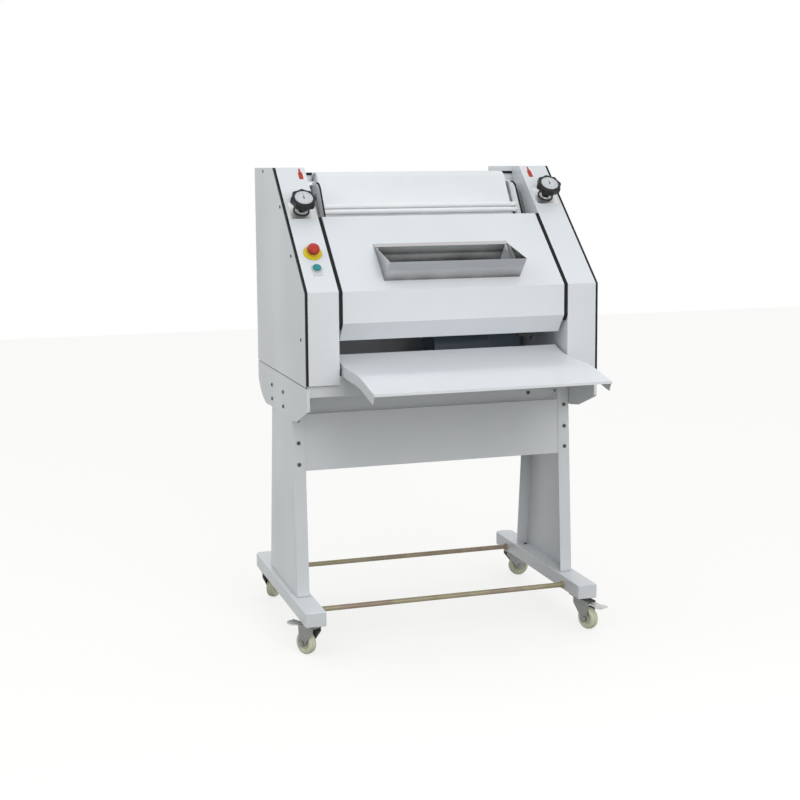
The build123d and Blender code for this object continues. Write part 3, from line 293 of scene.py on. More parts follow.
def plated_metal(name, colour, shade, rough=(0.36, 0.52), spangle=260.0):
    """Plated or bare metal with a spangle of two tones and painted shade in its corners."""
    material, tree = start_finish(name)
    wear_and_shade = add_wear(tree, fine=1100.0, broad=40.0)
    place = add_output(tree, "ShaderNodeTexCoord", output="Object")
    cells = add_output(tree, "ShaderNodeTexVoronoi", {"Vector": place, "Scale": spangle}, "Color")
    tone = add_output(tree, "ShaderNodeSeparateColor", {"Color": cells})
    body = mixed(tree, tone, full_span, colour, shade)
    shaded_plating = mixed(tree, wear_and_shade["Corner"], full_span, body, plating_corner_shade, most=0.7)
    inputs = {"Base Color": shaded_plating, "Metallic": 1.0}
    inputs["Roughness"] = spread(tree, wear_and_shade["Broad"], noise_most, rough)
    inputs["Normal"] = bumped(tree, wear_and_shade["Fine"], strength=0.06, depth=0.0003)
    close_finish(tree, inputs)
    return material


zinc = plated_metal("zinc_plate", (0.22, 0.23, 0.225), (0.28, 0.29, 0.28))
rounded_copy("caster_plates", zinc, "frame", "zinc", fold=0.0008, rim=0.0005)
for caster in ("front_left", "front_right", "back_left", "back_right"):
    rounded_copy("caster_fork_" + caster, zinc, "caster_" + caster, "zinc", fold=0.0012, rim=0.0005)
pedal_zinc = plated_metal("pedal_zinc", (0.68, 0.69, 0.68), (0.62, 0.63, 0.62))
for braked in ("front_left", "front_right"):
    rounded_copy("brake_pedal_" + braked, pedal_zinc, "pedal_" + braked, "zinc", fold=0.0012, rim=0.0006)


# Caster wheels: ivory nylon, moulded in one with a tread, a web that is set back and a hub.
# Two grooves run round the tread, and the hub turns on the riveted axle.
def skinned_form(circles):
    """A bmesh skinned over rings of points; a ring of one point is a pole, a repeated ring closes it."""
    form = bmesh.new()
    rings = [[form.verts.new(point) for point in circle] for circle in circles]
    sides = max(len(ring) for ring in rings)
    for lower, upper in zip(rings, rings[1:]):
        for step in range(sides):
            corners = [lower[step % len(lower)], lower[(step + 1) % len(lower)]]
            corners += [upper[(step + 1) % len(upper)], upper[step % len(upper)]]
            form.faces.new(list(dict.fromkeys(corners)))
    bmesh.ops.remove_doubles(form, verts=form.verts[:], dist=merge_distance)
    bmesh.ops.recalc_face_normals(form, faces=form.faces[:])
    return form


def circle_points(radius, height, sides):
    """A level ring of points, or one point where the radius is zero."""
    turns = [2 * math.pi * step / sides for step in range(sides if radius else 1)]
    return [(radius * math.cos(turn), radius * math.sin(turn), height) for turn in turns]


def circle_rings(profile, sides):
    """Level rings from (radius, height) points."""
    return [circle_points(radius, height, sides) for radius, height in profile]


def turned_form(profile, sides):
    """A bmesh turned about Z from (radius, height) points."""
    return skinned_form(circle_rings(profile, sides))


def moulded_plastic(name, colour, shade, rough, grain=700.0, depth=0.0002, shine=0.5):
    """Moulded plastic with a grain of a depth, paler on its worn edges, and greyer in its corners: painted
    shade on pale colours, dirt on dark ones.
    """
    material, tree = start_finish(name)
    wear_and_shade = add_wear(tree, fine=grain, broad=18.0, edge=0.0012, reach=0.012)
    body = mixed(tree, wear_and_shade["Broad"], noise_middle, colour, shade)
    # Corners take this grey, a painted shade on pale plastics and a film of dirt on black ones.
    dust_and_shade = tuple(0.04 + 0.3 * part for part in colour)
    dusty_and_shaded = mixed(tree, wear_and_shade["Corner"], full_span, body, dust_and_shade, most=0.4)
    pale = tuple(min(1.0, 0.02 + 1.15 * part) for part in colour)
    inputs = {"Base Color": mixed(tree, wear_and_shade["Edge"], full_span, dusty_and_shaded, pale, most=0.35)}
    inputs["Roughness"] = spread(tree, wear_and_shade["Broad"], noise_most, (rough - 0.05, rough + 0.07))
    inputs["Normal"] = bumped(tree, wear_and_shade["Fine"], strength=0.12, depth=depth)
    inputs["Specular IOR Level"] = shine
    close_finish(tree, inputs)
    return material


ivory_nylon = moulded_plastic("ivory_nylon", (0.79, 0.785, 0.6), (0.73, 0.725, 0.54),
                              rough=0.42, grain=900.0, depth=0.0004)
wheel_radius = 0.0375
wheel_trail = 0.032
axle_bore = 0.0042
wheel_side = [(axle_bore, 0.0125), (0.0085, 0.0125), (0.0095, 0.0115), (0.0105, 0.0085), (0.0215, 0.008)]
wheel_side += [(0.023, 0.009), (0.024, 0.0128), (0.025, 0.0136), (0.031, 0.0136), (0.0345, 0.0122)]
wheel_side += [(0.0362, 0.0098), (0.0368, 0.0078), (0.0355, 0.007), (0.0352, 0.0062), (0.0355, 0.0054)]
wheel_side += [(0.0372, 0.0046), (0.0374, 0.003), (wheel_radius, 0.0)]
wheel_profile = wheel_side + [(radius, -height) for radius, height in wheel_side[-2::-1]] + wheel_side[:1]
foot_x = 0.468
caster_front_y = -0.157
caster_back_y = 0.486
caster_turns = {"front_left": 117.0, "front_right": -70.0, "back_right": 0.0, "back_left": 50.0}
for caster, turn in caster_turns.items():
    side_x = foot_x if caster.endswith("right") else -foot_x
    side_y = caster_front_y if caster.startswith("front") else caster_back_y
    swivel = Matrix.Translation((side_x, side_y, 0.0)) @ Matrix.Rotation(math.radians(turn), 4, "Z")
    axle = Matrix.Translation((wheel_trail, 0.0, wheel_radius)) @ Matrix.Rotation(math.radians(90.0), 4, "X")
    place_piece("caster_wheel_moulded_" + caster, turned_form(wheel_profile, sides=64), ivory_nylon,
                "wheel_" + caster, "ivory_plastic", "caster_wheel_" + caster,
                seat=swivel @ axle, smooth_angle=30.0)

# Base pan, lower side plates and side frames: the body's sheet and plate, coated white.
# The pan lies on the leg tops, and the thick frames inside the towers carry every roller.
coated_sheets("base_pan", "lower_plate_left", "lower_plate_right", fold=0.0025)
paint_nodes(white_coat, "side_frame_left", "side_frame_right")


# Bolts of the stand and screws of the side panels: blackened steel with a socket or a cross slot.
# They sit on the legs and their foot tabs, the lower plates, the cross beam and the panels.
def pushed_form(outline, low, high):
    """A prism from a flat outline of (x, y) points."""
    form = bmesh.new()
    lower = [form.verts.new((x, y, low)) for x, y in outline]
    upper = [form.verts.new((x, y, high)) for x, y in outline]
    form.faces.new(lower[::-1])
    form.faces.new(upper)
    for step in range(len(outline)):
        after = (step + 1) % len(outline)
        form.faces.new([lower[step], lower[after], upper[after], upper[step]])
    bmesh.ops.recalc_face_normals(form, faces=form.faces[:])
    return form


def cut_head(name, profile, cut_form, material):
    """A turned screw head with a recess cut into it."""
    head = make_piece(name, turned_form(profile, sides=28), material, smooth_angle=30.0)
    cutter = make_piece(name + "_cutter", cut_form, material)
    recess = head.modifiers.new("recess", "BOOLEAN")
    recess.operation = "DIFFERENCE"
    recess.object = cutter
    recess.solver = "EXACT"
    plain_mesh(head)
    bpy.data.objects.remove(cutter)
    return head


def start_geometry_tree(name, sockets):
    """A geometry node tree with inputs of named kinds."""
    tree = bpy.data.node_groups.new(name, "GeometryNodeTree")
    for label, kind in sockets.items():
        tree.interface.new_socket(label, in_out="INPUT", socket_type="NodeSocket" + kind)
    tree.interface.new_socket("Geometry", in_out="OUTPUT", socket_type="NodeSocketGeometry")
    return tree, add_node(tree, "NodeGroupInput").outputs


def close_geometry_tree(tree, instances, finish):
    """Make instances real, give them their finish and hand them out."""
    real = add_output(tree, "GeometryNodeRealizeInstances", {"Geometry": instances})
    coated = add_output(tree, "GeometryNodeSetMaterial", {"Geometry": real, "Material": finish})
    add_node(tree, "NodeGroupOutput", {"Geometry": coated})


def run_geometry_tree(piece, tree, values):
    """Run a tree on a piece with its inputs set by identifier, and keep the plain result."""
    modifier = piece.modifiers.new(tree.name, "NODES")
    modifier.node_group = tree
    for item in tree.interface.items_tree:
        if item.in_out == "INPUT" and item.name in values:
            modifier[item.identifier] = values[item.name]
    plain_mesh(piece)


row_sockets = {"Geometry": "Geometry", "Fastener": "Object", "Finish": "Material"}
fastener_rows, rows_in = start_geometry_tree("fastener_rows", row_sockets)
row_head_inputs = {"Object": rows_in["Fastener"], "As Instance": True}
row_head = add_output(fastener_rows, "GeometryNodeObjectInfo", row_head_inputs, "Geometry")
row_facing = add_output(fastener_rows, "GeometryNodeInputNamedAttribute", {"Name": "outward"},
                        data_type="FLOAT_VECTOR")
row_aim = add_output(fastener_rows, "FunctionNodeAlignRotationToVector", {"Vector": row_facing}, axis="Z")
# Inputs 2 and 3 are the least and the greatest number, output 1 is the number drawn.
row_spin_inputs = {2: 0.0, 3: 2 * math.pi, "Seed": 7}
row_spin = add_output(fastener_rows, "FunctionNodeRandomValue", row_spin_inputs, 1, data_type="FLOAT")
row_turn = add_output(fastener_rows, "FunctionNodeAxisAngleToRotation", {"Angle": row_spin})
row_turned = add_output(fastener_rows, "FunctionNodeRotateRotation", {0: row_aim, 1: row_turn},
                        rotation_space="LOCAL")
row_inputs = {"Points": rows_in["Geometry"], "Instance": row_head, "Rotation": row_turned}
row_instances = add_output(fastener_rows, "GeometryNodeInstanceOnPoints", row_inputs)
close_geometry_tree(fastener_rows, row_instances, rows_in["Finish"])


def set_fasteners(name, places, head, material):
    """One piece with a fastener at every place, each facing outward; places are (point, outward)."""
    mesh = bpy.data.meshes.new(name)
    mesh.from_pydata([point for point, outward in places], [], [])
    facing = mesh.attributes.new("outward", "FLOAT_VECTOR", "POINT")
    facing.data.foreach_set("vector", [part for point, outward in places for part in outward])
    piece = new_object(name, mesh)
    run_geometry_tree(piece, fastener_rows, {"Fastener": head, "Finish": material})
    bpy.data.objects.remove(head)
    return piece


dark_steel = plated_metal("blackened_steel", (0.07, 0.07, 0.075), (0.11, 0.11, 0.115),
                          rough=(0.38, 0.52), spangle=900.0)
bolt_profile = [(0.0, -0.012), (0.0038, -0.012), (0.004, -0.0115), (0.004, 0.0), (0.0062, 0.0)]
bolt_profile += [(0.0065, 0.0004), (0.0064, 0.0016), (0.0055, 0.0031), (0.004, 0.0039), (0.0, 0.004)]
socket_radius = 0.0029
socket_outline = [(x, y) for x, y, z in circle_points(socket_radius, height=0.0, sides=6)]
socket_cut = pushed_form(socket_outline, low=0.0018, high=0.006)
bolt_head = cut_head("bolt", bolt_profile, socket_cut, dark_steel)
outer_face = 0.49
foot_top = 0.156
tab_top = 0.159
tab_bolt_depths = (-0.003, 0.339)
plate_bolt_depths = (0.112, 0.281)
plate_bolt_heights = (0.767, 0.815)
flange_bolt_heights = (0.5922, 0.6625, 0.7365)
flange_foot_y = -0.033
flange_back = 0.039
flange_height = 0.685
flange_lean = math.atan2(flange_back, flange_height)
flange_outward = (0.0, -math.cos(flange_lean), math.sin(flange_lean))
earth_bolt = (0.346, 0.024, 0.7805)
bolt_places = []
for side in (-1.0, 1.0):
    for z in flange_bolt_heights:
        y = flange_foot_y + math.tan(flange_lean) * (z - foot_top)
        bolt_places.append(((side * foot_x, y, z), flange_outward))
    for y in plate_bolt_depths:
        bolt_places += [((side * outer_face, y, z), (side, 0.0, 0.0)) for z in plate_bolt_heights]
    bolt_places += [((side * foot_x, y, tab_top), (0.0, 0.0, 1.0)) for y in tab_bolt_depths]
bolt_places.append((earth_bolt, (0.0, -1.0, 0.0)))
bolts = set_fasteners("stand_bolts", bolt_places, bolt_head, dark_steel)
fit_piece(bolts, "frame", "dark_steel", "frame_bolts")

screw_profile = [(0.0, -0.009), (0.0022, -0.009), (0.0025, -0.0085), (0.0025, 0.0), (0.0052, 0.0)]
screw_profile += [(0.0055, 0.0004), (0.0053, 0.0013), (0.0042, 0.0021), (0.002, 0.0025), (0.0, 0.0025)]
slot_half = 0.0006
slot_reach = 0.003
slot_arm = [(slot_half, slot_half), (slot_half, slot_reach), (-slot_half, slot_reach)]
cross_outline = []
for quarter in range(4):
    cross_outline += slot_arm
    slot_arm = [(-y, x) for x, y in slot_arm]
cross_cut = pushed_form(cross_outline, low=0.0009, high=0.004)
panel_screw = cut_head("panel_screw", screw_profile, cross_cut, dark_steel)
slope_rise = 0.38
slope_run = 0.422
slope_angle = math.atan2(slope_rise, slope_run)
knee_y = -0.216
knee_z = 1.17


def slope_point(x, up, depth=0.0):
    """A point at a length up the sloped front and a depth under it."""
    y = knee_y + up * math.cos(slope_angle) + depth * math.sin(slope_angle)
    z = knee_z + up * math.sin(slope_angle) - depth * math.cos(slope_angle)
    return (x, y, z)


slope_screws = ((0.413, 0.031), (0.204, 0.046))
upright_screws = ((-0.151, 1.018), (0.365, 1.538))
screw_places = []
for side in (-1.0, 1.0):
    spots = [slope_point(side * outer_face, up, depth) for up, depth in slope_screws]
    spots += [(side * outer_face, y, z) for y, z in upright_screws]
    screw_places += [(spot, (side, 0.0, 0.0)) for spot in spots]
screws = set_fasteners("panel_screw_heads", screw_places, panel_screw, dark_steel)
fit_piece(screws, "frame", "dark_steel", "panel_screws")

# Tower shells and side panels: folded strips over the towers' fronts and flat sheets at their sides.
# They are coated white, and the panels are screwed into the shells.
coated_sheets("tower_shell_left", "tower_shell_right", "side_panel_left", "side_panel_right", fold=0.003)

# Rubber trims: black extruded gaskets along the panels and the cover, and edging on sheet edges.
# They are pushed into their gaps and a little dull with flour dust.
rubber, rubber_tree = start_finish("black_rubber")
rubber_wear = add_wear(rubber_tree, fine=1500.0, broad=30.0, edge=0.0015, reach=0.006)
rubber_black = (0.006, 0.006, 0.007)
rubber_pale = (0.01, 0.01, 0.011)
rubber_dust = (0.12, 0.12, 0.115)
rubber_body = mixed(rubber_tree, rubber_wear["Broad"], noise_middle, rubber_black, rubber_pale)
rubber_colour = mixed(rubber_tree, rubber_wear["Corner"], full_span, rubber_body, rubber_dust, most=0.08)
rubber_rough = spread(rubber_tree, rubber_wear["Broad"], noise_most, (0.5, 0.66))
rubber_inputs = {"Base Color": rubber_colour, "Roughness": rubber_rough, "Specular IOR Level": 0.22}
rubber_inputs["Normal"] = bumped(rubber_tree, rubber_wear["Fine"], strength=0.15, depth=0.0003)
close_finish(rubber_tree, rubber_inputs)
rounded_copy("rubber_trims", rubber, "frame", "black_rubber", fold=0.0012, rim=0.0006)

# Belt rollers: satin tubes on ground steel shafts, which turn in steel bearings.
# The bed under the belt is a brushed stainless plate from frame to frame.
brushed_lines, brush_in = start_group("brushed_lines", ["Along", "Across"], ["Lines"])
brush_place = add_output(brushed_lines, "ShaderNodeTexCoord", output="Object")
brush_stretch_inputs = {"X": brush_in["Along"], "Y": brush_in["Across"], "Z": brush_in["Across"]}
brush_stretch = add_output(brushed_lines, "ShaderNodeCombineXYZ", brush_stretch_inputs)
brush_scaled_inputs = {0: brush_place, 1: brush_stretch}
brush_scaled = add_output(brushed_lines, "ShaderNodeVectorMath", brush_scaled_inputs, operation="MULTIPLY")
brush_noise_inputs = {"Vector": brush_scaled, "Scale": 1.0, "Detail": 3.0}
brush_noise = add_output(brushed_lines, "ShaderNodeTexNoise", brush_noise_inputs)
add_node(brushed_lines, "NodeGroupOutput", {"Lines": brush_noise})


# Near-black mixed into the hollows of bare metal as painted shade.
metal_hollow_shade = (0.05, 0.05, 0.052)
hollow_span = (0.0, 0.5)


def brushed_metal(name, colour, shade, rough, along, across, reach=0.02, depth=0.5):
    """Bare metal with brush or turning lines along X, and painted shade that darkens it by a depth in
    hollows of a reach.
    """
    material, tree = start_finish(name)
    wear_and_shade = add_wear(tree, fine=900.0, broad=7.0, edge=0.001, reach=reach)
    sizes = {"Along": along, "Across": across}
    lines = add_output(tree, "ShaderNodeGroup", sizes, node_tree=brushed_lines)
    body = mixed(tree, lines, noise_middle, colour, shade)
    hollow_shaded = mixed(tree, wear_and_shade["Corner"], hollow_span, body, metal_hollow_shade, most=depth)
    inputs = {"Base Color": hollow_shaded, "Metallic": 1.0}
    inputs["Roughness"] = spread(tree, lines, noise_most, rough)
    inputs["Normal"] = bumped(tree, lines, strength=0.05, depth=0.0003)
    close_finish(tree, inputs)
    return material


turned_steel = brushed_metal("turned_steel", (0.52, 0.53, 0.54), (0.45, 0.46, 0.47),
                             rough=(0.22, 0.36), along=500.0, across=8.0)
stainless = brushed_metal("brushed_stainless", (0.43, 0.43, 0.43), (0.37, 0.37, 0.37),
                          rough=(0.26, 0.38), along=3.0, across=420.0)
satin_tube = brushed_metal("satin_tube", (0.84, 0.85, 0.86), (0.79, 0.8, 0.81),
                           rough=(0.42, 0.56), along=500.0, across=8.0, depth=0.2)
paint_nodes(satin_tube, "top_roller", "bottom_roller")
paint_nodes(turned_steel, "roller_bearings", "roller_slides",
            "pressure_slide", "knob_screw_left", "knob_screw_right")
paint_nodes(stainless, "belt_bed")

# Felt belt: a napped endless band stretched around both belt rollers and the bed between them.
# It is 4 mm of white wool felt, drawn tight, with a faint ripple.
felt, felt_tree = start_finish("white_felt")
felt_wear = add_wear(felt_tree, fine=1700.0, broad=5.0)
felt_place = add_output(felt_tree, "ShaderNodeTexCoord", output="Object")
weave_inputs = {"Vector": felt_place, "Scale": 260.0, "Distortion": 3.0, "Detail": 2.0}
weave = add_output(felt_tree, "ShaderNodeTexWave", weave_inputs, "Fac", bands_direction="X")
felt_height = add_output(felt_tree, "ShaderNodeMath", {0: felt_wear["Fine"], 1: weave}, operation="ADD")
felt_white = (0.87, 0.885, 0.9)
felt_grey = (0.83, 0.845, 0.86)
felt_body = mixed(felt_tree, felt_wear["Broad"], noise_middle, felt_white, felt_grey)
felt_inputs = {"Base Color": felt_body, "Sheen Weight": 0.25, "Sheen Roughness": 0.5}
felt_inputs["Roughness"] = spread(felt_tree, felt_wear["Fine"], noise_most, (0.86, 0.97))
felt_inputs["Normal"] = bumped(felt_tree, felt_height, strength=0.25, depth=0.0005)
close_finish(felt_tree, felt_inputs)
belt_angle = math.radians(57.0)
belt_length = 0.536
belt_outer = 0.042
belt_inner = 0.0384
belt_half = 0.335
belt_low = Vector((-0.035, 1.043))
belt_ripple = 0.0005
outer_round = 0.0012
inner_round = 0.001
belt_columns = 40
run_steps = 48
arc_steps = 20
belt_up = Vector((math.cos(belt_angle), math.sin(belt_angle)))
belt_out = Vector((-math.sin(belt_angle), math.cos(belt_angle)))
belt_top = belt_low + belt_length * belt_up
belt_path = []
for start, end, way in ((belt_low, belt_top, 1.0), (belt_top, belt_low, -1.0)):
    for step in range(run_steps):
        belt_path.append((start + way * belt_up * belt_length * step / run_steps, way * belt_out))
    for step in range(arc_steps):
        arc = math.pi * step / arc_steps
        belt_path.append((end, way * (math.cos(arc) * belt_out + math.sin(arc) * belt_up)))


def belt_point(middle, outward, share, reach):
    """A point of the belt at a share of its half width and a reach from the line of its rollers."""
    spot = middle + outward * reach
    return (share * belt_half, spot.x, spot.y)


belt_shares = [2 * column / belt_columns - 1 for column in range(belt_columns + 1)]
belt_rings = []
for step, (middle, outward) in enumerate(belt_path):
    ring = []
    for share in belt_shares:
        ripple = 0.5 + 0.5 * math.sin(0.31 * step + 1.7 * share) * math.sin(4.1 * share + 0.05 * step)
        rounding = outer_round if abs(share) == 1 else 0.0
        ring.append(belt_point(middle, outward, share, belt_outer - belt_ripple * ripple - rounding))
    for share in belt_shares[::-1]:
        rounding = inner_round if abs(share) == 1 else 0.0
        ring.append(belt_point(middle, outward, share, belt_inner + rounding))
    belt_rings.append(ring)
belt_rings.append(belt_rings[0])
belt = place_piece("felt_band", skinned_form(belt_rings), felt, "frame", "felt", "felt_belt")

# Belt cheeks and bars: coated plates that stand beside the belt, and two white bars across it.
# The bars end in the cheeks and hold the dough flat on the belt.
# Cheeks and bars take a paler copy of the white coat, with little painted shade in its corners, painted
# lighter to stand in for light that the towers keep off them.
lightened_cheek_coat = powder_coat("lightened_cheek_coat", (0.91, 0.92, 0.93), (0.88, 0.89, 0.9), dust_and_shade=0.1)
rounded_copy("belt_cheeks", lightened_cheek_coat, "frame", "white_paint", fold=0.0008)
paint_nodes(lightened_cheek_coat, "guard_bars")

# Sheeting rollers and pressure board: white food-safe plastic, turned and milled.
# The knobs move the rear roller and the board by their slides.
food_plastic = moulded_plastic("food_plastic", (0.76, 0.77, 0.76), (0.71, 0.72, 0.71),
                               rough=0.38, grain=500.0, depth=0.0003)
paint_nodes(food_plastic, "front_roller", "rear_roller", "pressure_board")

# Drive: a gear motor in grey-blue enamel, with a sprocket and an oiled roller chain.
# The control box in the left tower is moulded grey plastic.
enamel = powder_coat("motor_enamel", (0.2, 0.26, 0.32), (0.17, 0.22, 0.28))
oiled_steel = plated_metal("oiled_steel", (0.16, 0.15, 0.14), (0.22, 0.21, 0.2),
                           rough=(0.28, 0.42), spangle=500.0)
grey_plastic = moulded_plastic("grey_plastic", (0.46, 0.47, 0.48), (0.42, 0.43, 0.44),
                               rough=0.45, grain=800.0, depth=0.0003)
paint_nodes(enamel, "gear_motor")
paint_nodes(oiled_steel, "motor_sprocket", "drive_chain")
paint_nodes(grey_plastic, "control_box")

# Rear cover and outfeed tray: white coated sheets, folded at their edges.
# The tray hangs on studs of the side frames and curves down to its front lip.
coated_sheets("rear_cover", fold=0.003)
coated_sheets("outfeed_tray", fold=0.002)

# Front cover with its pocket: a coated hood on two hinges, with a folded stainless hopper on it.
# A black bracket under its lip works the safety switch.
rounded_copy("front_cover", white_coat, "front_cover", "white_paint", fold=0.004)
# The hopper's finish reaches far and deep into its hollows, so the pocket's inside is painted dark: a
# painted shade and a painted reflection of its own walls.
bright_stainless = brushed_metal("polished_stainless", (0.57, 0.57, 0.575), (0.53, 0.53, 0.535),
                                 rough=(0.1, 0.18), along=3.0, across=300.0, reach=0.09, depth=0.9)
rounded_copy("pocket_hopper", bright_stainless, "front_cover", "stainless", fold=0.0012, rim=0.0003)
black_plastic = moulded_plastic("black_plastic", (0.008, 0.008, 0.009), (0.013, 0.013, 0.014),
                                rough=0.36, grain=800.0, depth=0.0003, shine=0.32)
rounded_copy("latch_bracket", black_plastic, "front_cover", "black_plastic", fold=0.0008)

# Cable gland: moulded black plastic, put through the rear cover and held by a nut inside.
# Outside it has a hexagon for the spanner and a ribbed cap that clamps the supply cable.
gland_place = (0.3, 0.502, 0.93)
gland_sides = 72
gland_hex = 0.013
gland_thread = 0.009
gland_bore = 0.005
gland_end = -0.014
hexagon_turn = math.radians(60.0)
corner_share = 0.985


def hexagon_points(radius, height):
    """A level ring of points on a hexagon with its corners turned off."""
    flat = radius * math.cos(hexagon_turn / 2)
    points = []
    for x, y, z in circle_points(1.0, height, gland_sides):
        off = (math.atan2(y, x) + hexagon_turn / 2) % hexagon_turn - hexagon_turn / 2
        reach = min(flat / math.cos(off), radius * corner_share)
        points.append((reach * x, reach * y, height))
    return points


gland_tail = [(gland_bore, gland_end), (0.0086, gland_end), (gland_thread, -0.0135), (gland_thread, -0.008)]
gland_nut = [(0.0006, -0.008), (0.0, -0.0074), (0.0, -0.0026), (0.0006, -0.002)]
gland_collar = [(0.0006, 0.0), (0.0, 0.0006), (0.0, 0.009), (0.0007, 0.0097)]
gland_cap = [(0.0098, 0.01), (0.0098, 0.0112), (0.0102, 0.0118), (0.0102, 0.0205), (0.0094, 0.0235)]
gland_cap += [(0.0076, 0.0254), (0.0062, 0.026), (0.0053, 0.0258), (gland_bore, 0.0252)]
gland_cap.append((gland_bore, gland_end))
gland_rings = circle_rings(gland_tail, gland_sides)
gland_rings += [hexagon_points(gland_hex - inset, height) for inset, height in gland_nut]
gland_rings += circle_rings([(gland_thread, -0.002), (gland_thread, 0.0)], gland_sides)
gland_rings += [hexagon_points(gland_hex - inset, height) for inset, height in gland_collar]
gland_rings += circle_rings(gland_cap, gland_sides)
gland_seat = Matrix.Translation(gland_place) @ Matrix.Rotation(math.radians(-90.0), 4, "X")
place_piece("cable_gland_moulded", skinned_form(gland_rings), black_plastic, "frame", "black_plastic",
            "cable_gland", seat=gland_seat, smooth_angle=32.0)

ring_sockets = {"Geometry": "Geometry", "Count": "Int", "Radius": "Float", "Height": "Float"}
ring_sockets.update({"Rib Size": "Vector", "Finish": "Material"})
rib_ring, ring_in = start_geometry_tree("rib_ring", ring_sockets)
ring_circle_inputs = {"Vertices": ring_in["Count"], "Radius": ring_in["Radius"]}
ring_circle = add_output(rib_ring, "GeometryNodeMeshCircle", ring_circle_inputs)
ring_rib = add_output(rib_ring, "GeometryNodeMeshCube", {"Size": ring_in["Rib Size"]})
ring_aim_inputs = {"Vector": add_output(rib_ring, "GeometryNodeInputPosition")}
ring_aim = add_output(rib_ring, "FunctionNodeAlignRotationToVector", ring_aim_inputs,
                      axis="X", pivot_axis="Z")
ring_inputs = {"Points": ring_circle, "Instance": ring_rib, "Rotation": ring_aim}
ring_points = add_output(rib_ring, "GeometryNodeInstanceOnPoints", ring_inputs)
ring_offset = add_output(rib_ring, "ShaderNodeCombineXYZ", {"Z": ring_in["Height"]})
ring_lift_inputs = {"Geometry": ring_points, "Translation": ring_offset}
ring_lift = add_output(rib_ring, "GeometryNodeTransform", ring_lift_inputs)
close_geometry_tree(rib_ring, ring_lift, ring_in["Finish"])


def ring_of_ribs(name, material, count, radius, height, size):
    """Ribs or marks set round a circle, as a loose mesh piece at the origin."""
    piece = new_object(name, bpy.data.meshes.new(name))
    values = {"Count": count, "Radius": radius, "Rib Size": size, "Height": height, "Finish": material}
    run_geometry_tree(piece, rib_ring, values)
    return piece


gland_ribs = ring_of_ribs("gland_ribs", black_plastic, count=30, radius=0.0102, height=0.0162,
                          size=(0.0006, 0.0009, 0.008))
gland_ribs.data.transform(gland_seat)
fit_piece(gland_ribs, "frame", "black_plastic")


# Adjusting knobs: black lobed hand knobs with a flared neck over their screws.
# Each stands over a pale square plate, with a collar that guides the screw and a black ring.
def on_slope(x, up):
    """Where a piece that is built flat stands on the sloped front."""
    lean = Matrix.Rotation(slope_angle, 4, "X")
    return Matrix.Translation(slope_point(x, up)) @ lean


strip_x = 0.434
knob_places = {"left": (-strip_x, 0.36), "right": (strip_x, 0.414)}
screw_bore = 0.0081
plate_half = 0.039
plate_thick = 0.0015
plate_chamfer = 0.0003
plate_sides = 160
plate_squareness = 16.0
ring_profile = [(0.0222, 0.0), (0.027, 0.0), (0.027, 0.004), (0.0262, 0.0049), (0.0248, 0.005)]
ring_profile += [(0.0228, 0.005), (0.0222, 0.0045), (0.0222, 0.0)]


def square_points(half, height):
    """A level ring of points on a square with round corners."""
    points = []
    for x, y, z in circle_points(1.0, height, plate_sides):
        reach = half / (abs(x) ** plate_squareness + abs(y) ** plate_squareness) ** (1 / plate_squareness)
        points.append((reach * x, reach * y, height))
    return points


def knob_plate_form():
    """The square plate with its collar, from the bore out, up and back into the bore."""
    collar = [(0.0146, plate_thick), (0.014, 0.002), (0.014, 0.0041), (0.0136, 0.0045)]
    collar += [(screw_bore, 0.0045), (screw_bore, 0.0)]
    rings = [circle_points(screw_bore, 0.0, plate_sides), square_points(plate_half, 0.0)]
    rings.append(square_points(plate_half, plate_thick - plate_chamfer))
    rings.append(square_points(plate_half - plate_chamfer, plate_thick))
    return skinned_form(rings + circle_rings(collar, plate_sides))


def join_form(whole, form):
    """Add a bmesh to another one and free it."""
    mesh = bpy.data.meshes.new("joined")
    form.to_mesh(mesh)
    form.free()
    whole.from_mesh(mesh)
    bpy.data.meshes.remove(mesh)


plate_zinc = plated_metal("bright_zinc", (0.82, 0.83, 0.83), (0.77, 0.78, 0.78),
                          rough=(0.4, 0.55), spangle=200.0)
both_plates = bmesh.new()
both_rings = bmesh.new()
for x, up in knob_places.values():
    for form, whole in ((knob_plate_form(), both_plates), (turned_form(ring_profile, sides=96), both_rings)):
        form.transform(on_slope(x, up))
        join_form(whole, form)
place_piece("knob_plate_sheets", both_plates, plate_zinc, "frame", "zinc", "knob_plates", smooth_angle=30.0)
place_piece("knob_plate_rings", both_rings, black_plastic, "frame", "black_plastic", smooth_angle=30.0)

lobe_count = 8
lobe_ring = 0.034
lobe_radius = 0.009
knob_core = 0.0395
lobe_blend = 30.0
knob_sides = 192


def lobed_points(inset, height):
    """A level ring of points on the lobed outline of a head, set in by a little."""
    spacing = 2 * math.pi / lobe_count
    points = []
    for x, y, z in circle_points(1.0, height, knob_sides):
        off = (math.atan2(y, x) + spacing / 2) % spacing - spacing / 2
        under = lobe_radius ** 2 - (lobe_ring * math.sin(off)) ** 2
        lobe = lobe_ring * math.cos(off) + math.sqrt(under) if under > 0 else 0.0
        reach = (lobe ** lobe_blend + knob_core ** lobe_blend) ** (1 / lobe_blend) - inset
        points.append((reach * x, reach * y, height))
    return points


